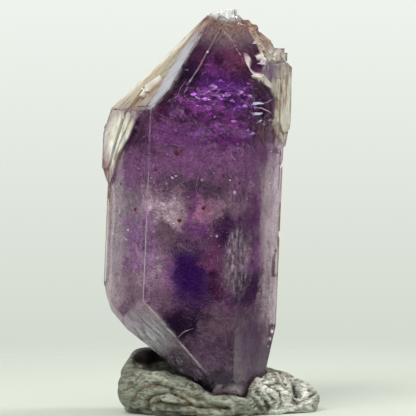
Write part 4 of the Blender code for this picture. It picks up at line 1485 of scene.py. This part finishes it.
@dataclass(frozen=True)
class PuttyFinish:
    """Kneaded grey-green putty: matt, streaky, with painted shade in its creases and painted
    highlights on its ridges.
    """

    grey: Colour = (0.046, 0.050, 0.035)
    pale: Colour = (0.32, 0.33, 0.26)
    lit_lobe_tone: Colour = (0.84, 0.84, 0.76)
    end_shade: Colour = (0.20, 0.21, 0.165)
    brown: Colour = (0.15, 0.078, 0.027)
    dark: Colour = (0.012, 0.011, 0.009)
    hollow_shadow: Colour = (0.010, 0.007, 0.005)
    # The right lobe is painted lighter and the left end darker, as light falls on them; the hollow
    # gets a painted shadow.
    lit_lobe: tuple[Triple, Triple] = ((15.8, -5.0, 5.0), (7.4, 10.0, 8.0))
    shaded_end: tuple[Triple, Triple] = ((-10.4, -5.0, 4.4), (5.0, 14.0, 6.6))
    hollow: tuple[Triple, Triple] = ((-5.3, -4.0, 8.4), (4.4, 9.0, 1.8))
    rust: tuple[Triple, Triple] = ((15.0, -2.0, 6.6), (5.5, 12.0, 1.8))

    def material(self) -> Material:
        """Builds the material. The attribute crease holds how far a point stands out, in mm.

        Returns:
            The material.
        """
        nodes = Surface("kneaded_putty")
        place = nodes.place
        lobe, end, hollow, rust = (
            nodes.mask(EFFECTS.spot, Place=place, Centre=centre, Radii=radii, Core=core)
            for (centre, radii), core in ((self.lit_lobe, 0.5), (self.shaded_end, 0.3),
                                          (self.hollow, 0.86), (self.rust, 0.4))
        )
        # The right lobe's ridges get a lighter tone and the left end's a darker one: painted light
        # and shade.
        ridge = nodes.blend(lobe, self.pale, self.lit_lobe_tone)
        ridge = nodes.blend(nodes.math("MULTIPLY", end, 0.6), ridge, self.end_shade)
        warp = nodes.vector("MULTIPLY", place, (0.55, 0.55, 1.5))
        streaks = nodes.noise(warp, 0.8, 6.0, 0.62, 1.6)
        fine = nodes.noise(nodes.vector("MULTIPLY", place, (0.8, 0.8, 2.6)), 1.9, 4.0, 0.62, 1.0)
        mixed = nodes.math("MULTIPLY_ADD", fine, 0.4, nodes.math("MULTIPLY", streaks, 0.6))
        tone = nodes.blend(nodes.span(mixed, 0.41, 0.60), self.grey, ridge)
        crease = nodes.attribute("crease")
        # Points that stand out of their surroundings take the ridge tone: painted highlights on the
        # ridges.
        tone = nodes.blend(nodes.span(crease, 0.05, 0.30, 0.0, 0.7), tone, ridge)
        seams = nodes.math("SUBTRACT", nodes.noise(warp, 0.5, 4.0, 0.5, 2.4), 0.5)
        seams = nodes.span(nodes.math("ABSOLUTE", seams), 0.0, 0.012, 0.7, 0.0)
        worn = nodes.span(nodes.noise(place, 0.6, 3.0), 0.38, 0.56)
        fold = nodes.span(nodes.attribute("fold"), 0.62, 0.96, 0.0, 0.8)
        stains = nodes.span(nodes.noise(place, 1.1, 4.0, 0.62), 0.46, 0.58, 0.0, 0.75)
        for mark, share in ((rust, stains), (fold, worn)):
            seams = nodes.math("MAXIMUM", seams, nodes.math("MULTIPLY", mark, share))
        tone = nodes.blend(seams, tone, self.brown)
        # Points sunk into creases are darkened: painted shade.
        tone = nodes.blend(nodes.span(crease, -0.22, 0.0, 0.95, 0.0), tone, self.dark)
        # Painted shadow in the hollow under the stone.
        tone = nodes.blend(nodes.math("MULTIPLY", hollow, 0.94), tone, self.hollow_shadow)
        grain = nodes.noise(place, 6.0, 4.0, 0.6)
        height = nodes.math("MULTIPLY_ADD", grain, 0.3, mixed)
        return nodes.close(Base_Color=tone, Roughness=nodes.span(grain, 0.3, 0.7, 0.30, 0.55),
                           Normal=nodes.bump(height, 0.7, 0.16))


@dataclass(frozen=True)
class Fold:
    """A crease in the front of the putty: its depth, its half width and its route, as (x, z)."""

    depth: float
    half_width: float
    route: Route


def read(items: bpy.types.bpy_prop_collection, name: str) -> np.ndarray:
    """A triple of every point of a mesh.

    Args:
        items: the points or their normals.
        name: what is read of each.

    Returns:
        The triples, row by row.
    """
    values = np.empty(len(items) * 3)
    items.foreach_get(name, values)
    return values.reshape(-1, 3)


def store(piece: Piece, name: str, values: np.ndarray) -> None:
    """Stores a number for every point of a piece."""
    attribute = piece.data.attributes.new(name, "FLOAT", "POINT")
    attribute.data.foreach_set("value", values.astype(np.float32))


@dataclass
class PuttyLump:
    """The lump of putty with its folds, swirls and finger ridges."""

    voxel: float = 0.2
    softening: int = 5
    swirl_spacing: float = 4.2
    swirl_height: float = 0.45
    swirl_turn_deg: Triple = (0.0, 75.0, 20.0)
    wrinkles: tuple[tuple[str, float, float], ...] = (("Wrinkles", 1.3, 0.26), ("Pits", 0.35, 0.06))
    lip_share: float = 0.35
    crease_softening: int = 26
    finish: PuttyFinish = PuttyFinish()
    folds: tuple[Fold, ...] = (
        Fold(0.75, 0.50, [(-8.5, 5.4), (-6.9, 4.6), (-5.9, 3.7), (-4.1, 2.8), (-2.7, 1.7),
                          (0.2, 1.4), (2.5, 1.2)]),
        Fold(0.45, 0.40, [(-6.2, 4.6), (-4.5, 4.2), (-3.1, 3.3), (-1.3, 2.8), (0.2, 2.1),
                          (2.5, 1.6)]),
        Fold(0.55, 0.36, [(-10, 1.4), (-10.1, 2.4), (-9.6, 3.1), (-8.5, 3.6), (-7.1, 3.8),
                          (-5.9, 3.5)]),
        Fold(0.45, 0.30, [(-9.5, 1.6), (-9.2, 2.5), (-8.3, 3), (-7.8, 2.4)]),
        Fold(0.85, 0.45, [(-8.5, 2.1), (-6.9, 2), (-5.2, 1.9), (-3.5, 1.6)]),
        Fold(0.35, 0.32, [(-11.6, 0.8), (-9.4, 0.9), (-6, 0.7), (-2.6, 0.9)]),
        Fold(0.14, 0.24, [(-13.4, 4.8), (-12.2, 5.6), (-11.2, 6.8), (-9.6, 7.2)]),
        Fold(0.16, 0.26, [(-12.4, 2.2), (-11.8, 3.8), (-10.6, 4.8), (-8.8, 5)]),
        Fold(0.25, 0.30, [(6.7, 2.8), (7.5, 1.6), (7.8, 0.9)]),
        Fold(0.35, 0.34, [(7.2, 4), (8.3, 2.6), (9.1, 1.2)]),
        Fold(0.22, 0.26, [(8.6, 4), (9.2, 3.2), (9.6, 2.6)]),
        Fold(0.30, 0.34, [(9.4, 4.6), (10.8, 3.6), (11.2, 2), (10.8, 1)]),
        Fold(0.60, 0.50, [(8.2, 5.4), (9.4, 4.9), (10.6, 5.1), (11.8, 4.4)]),
        Fold(0.80, 0.60, [(12.6, 5.6), (13.4, 4.3), (13.7, 3), (13.3, 1.9)]),
        Fold(0.40, 0.30, [(11.6, 6.4), (13.6, 5.2), (15.2, 4.4), (17.2, 3.2)]),
        Fold(0.35, 0.30, [(13.9, 1.6), (15.2, 2.2), (16.6, 2.8)]),
    )

    def build(self) -> None:
        """Refines a copy of the CAD lump and lets it stand for it."""
        piece = cad_copy("putty")
        remesh(piece, self.voxel)
        modify(piece, "Soften", "SMOOTH", iterations=self.softening)
        guide = self.swirl(piece)
        for name, size, height in self.wrinkles:
            displace(piece, name, "CLOUDS", size, height, noise_depth=2)
        apply_modifiers(piece)
        bpy.data.objects.remove(guide)
        self.press_folds(piece)
        bpy.ops.object.shade_smooth()
        self.store_creases(piece)
        hand_in(piece, "putty_lump", Slot.PUTTY, self.finish.material())
        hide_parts("putty")

    def swirl(self, piece: Piece) -> Piece:
        """Presses turned, swirling bands into the lump.

        Args:
            piece: the lump.

        Returns:
            The guide that turns the bands, which goes once they are applied.
        """
        guide = bpy.data.objects.new("swirl_guide", None)
        guide.rotation_euler = [math.radians(value) for value in self.swirl_turn_deg]
        guide.scale = [self.swirl_spacing * MM / MARBLE_PERIOD] * 3
        bpy.context.scene.collection.objects.link(guide)
        bpy.context.view_layer.update()
        swirls = displace(piece, "Swirls", "MARBLE", 2.2 / MM, self.swirl_height,
                          marble_type="SOFT", turbulence=11.0)
        adjust(swirls, {"texture_coords": "OBJECT", "texture_coords_object": guide})
        return guide

    def press_folds(self, piece: Piece) -> None:
        """Pushes the folds into the front, raises a lip beside each, and flattens the underside.

        Args:
            piece: the lump, which also gets the attribute fold.
        """
        places = read(piece.data.vertices, "co") / MM
        normals = read(piece.data.vertex_normals, "vector")
        seen = np.clip(-normals[:, 1] * 2.0, 0.0, 1.0)
        rise = np.zeros(len(places))
        mark = np.zeros(len(places))
        for fold in self.folds:
            away = np.full(len(places), np.inf)
            for start, end in zip(fold.route, fold.route[1:]):
                along = np.subtract(end, start)
                arm = places[:, (0, 2)] - start
                share = np.clip(arm @ along / (along @ along), 0.0, 1.0)
                away = np.minimum(away, np.linalg.norm(arm - share[:, None] * along, axis=1))
            groove = np.exp(-(away / fold.half_width) ** 2)
            lip = np.exp(-((away - 2.0 * fold.half_width) / fold.half_width) ** 2)
            rise += fold.depth * (self.lip_share * lip - groove)
            mark = np.maximum(mark, groove)
        places += normals * (rise * seen)[:, None]
        places[:, 2] = np.maximum(places[:, 2], 0.0)
        piece.data.vertices.foreach_set("co", (places * MM).ravel())
        store(piece, "fold", mark * seen)
        piece.data.update()

    def store_creases(self, piece: Piece) -> None:
        """Stores for each point how far it stands out of its softened surroundings, in mm.

        Args:
            piece: the lump, which gets the attribute crease.
        """
        soft = duplicate(piece)
        modify(soft, "Softened", "SMOOTH", iterations=self.crease_softening)
        apply_modifiers(soft)
        out = read(piece.data.vertices, "co") - read(soft.data.vertices, "co")
        store(piece, "crease", (out * read(piece.data.vertex_normals, "vector")).sum(axis=1) / MM)
        bpy.data.objects.remove(soft)


@dataclass
class Studio:
    """The pale floor, the pale surround, the soft lights and the camera."""

    camera_tilt_deg: float = 3.0
    lens: float = 300.0
    sensor: float = 36.0
    aim_mm: Triple = (-0.58, 0.0, 32.64)
    lit: Triple = (0.0, 0.0, 0.03)
    floor_colour: Colour = (0.50, 0.53, 0.47)
    floor_grain: Colour = (0.40, 0.41, 0.38)
    floor_fade: tuple[float, float] = (0.035, 0.14)
    low_colour: Colour = (0.610, 0.651, 0.571)
    high_colour: Colour = (0.865, 0.905, 0.855)
    gradient: tuple[float, float] = (-0.115, 0.01)
    mirrored_share: float = 0.14

    def build(self) -> None:
        """Sets up the whole studio."""
        self.floor()
        self.surround()
        self.soft_box("key", (-0.18, -0.25, 0.36), 0.22, 1.6)
        self.soft_box("rim", (0.25, 0.12, 0.30), 0.15, 0.8)
        self.camera()
        self.film()

    def floor(self) -> None:
        """A round pale floor whose rim fades into the surround."""
        select()
        bpy.ops.mesh.primitive_circle_add(vertices=96, radius=self.floor_fade[1], fill_type="NGON")
        piece = bpy.context.active_object
        nodes = Surface("pale_floor")
        grain = nodes.span(nodes.noise(nodes.point, 300.0, 3.0), 0.3, 0.7, 0.0, 0.08)
        colour = nodes.blend(grain, self.floor_colour, self.floor_grain)
        away = nodes.vector("LENGTH", nodes.point)
        alpha = nodes.span(away, *self.floor_fade, 1.0, 0.0, smooth=True)
        piece.name = "floor"
        piece.data.materials.append(nodes.close(Base_Color=colour, Alpha=alpha, Roughness=0.8))

    def surround(self) -> None:
        """Pale paper all round, lighter towards the top. It mirrors weakly, as a dim room would."""
        world = bpy.data.worlds.new("pale_surround")
        world.use_nodes = True
        nodes = Nodes(world.node_tree)
        way = nodes.add("TexCoord").outputs["Generated"]
        height = nodes.add("SeparateXYZ", {0: way}).outputs["Z"]
        colour = nodes.blend(nodes.span(height, *self.gradient), self.low_colour, self.high_colour)
        ray = nodes.add("LightPath").outputs
        through = nodes.math("SUBTRACT", 1.0, ray["Is Transmission Ray"])
        mirrored = nodes.math("MULTIPLY", ray["Is Glossy Ray"], through)
        background = world.node_tree.nodes["Background"].inputs
        nodes.feed(background["Color"], colour)
        nodes.feed(background["Strength"], nodes.span(mirrored, 0.0, 1.0, 1.0, self.mirrored_share))
        bpy.context.scene.world = world

    def soft_box(self, name: str, place: Triple, size: float, power: float) -> None:
        """An area light that faces the stone.

        Args:
            name: the light's name.
            place: where it hangs, in metres.
            size: its side, in metres.
            power: its power, in watts.
        """
        light = bpy.data.lights.new(name, "AREA")
        adjust(light, {"energy": power, "size": size})
        lamp = bpy.data.objects.new(name, light)
        lamp.location = place
        aim = Vector(place) - Vector(self.lit)
        lamp.rotation_euler = aim.to_track_quat("Z", "Y").to_euler()
        bpy.context.scene.collection.objects.link(lamp)

    def camera(self) -> None:
        """The photograph's view: level with the stone, from far away."""
        data = bpy.data.cameras.new("camera")
        adjust(data, {"lens": self.lens, "sensor_width": self.sensor})
        camera = bpy.data.objects.new("camera", data)
        away = PHOTO_SIDE_PX * MM_PER_PX * MM * self.lens / self.sensor
        tilt = math.radians(self.camera_tilt_deg)
        aim = Vector(self.aim_mm) * MM
        camera.location = aim + Vector((0.0, -math.cos(tilt), math.sin(tilt))) * away
        camera.rotation_euler = (camera.location - aim).to_track_quat("Z", "Y").to_euler()
        bpy.context.scene.collection.objects.link(camera)
        bpy.context.scene.camera = camera

    def film(self) -> None:
        """Plain colours, and enough bounces for light to find its way through the stone."""
        scene = bpy.context.scene
        scene.view_settings.view_transform = "Standard"
        adjust(scene.cycles, {
            "max_bounces": 40, "transmission_bounces": 36, "transparent_max_bounces": 64,
            "diffuse_bounces": 4, "glossy_bounces": 8, "use_denoising": True,
        })


def main() -> None:
    """Builds every part of the specimen, and then the studio round it."""
    logging.basicConfig(level=logging.INFO, format="%(name)s: %(message)s")
    # The edge glints are pale threads in a bright finish: painted highlights.
    glint = Solid("edge_glint", (0.62, 0.66, 0.78), (0.50, 0.42, 0.62), 0.3)
    edge_glints = Seams("edge_glints", finish=glint, routes=GLINTS)
    for part in (Phantom(), AmethystPoint(), ColourClouds(), Cracks(), Seams(), edge_glints,
                 Inclusions(), PuttyLump(), Studio()):
        LOG.info("building %s", type(part).__name__)
        part.build()


if __name__ == "__main__":
    main()
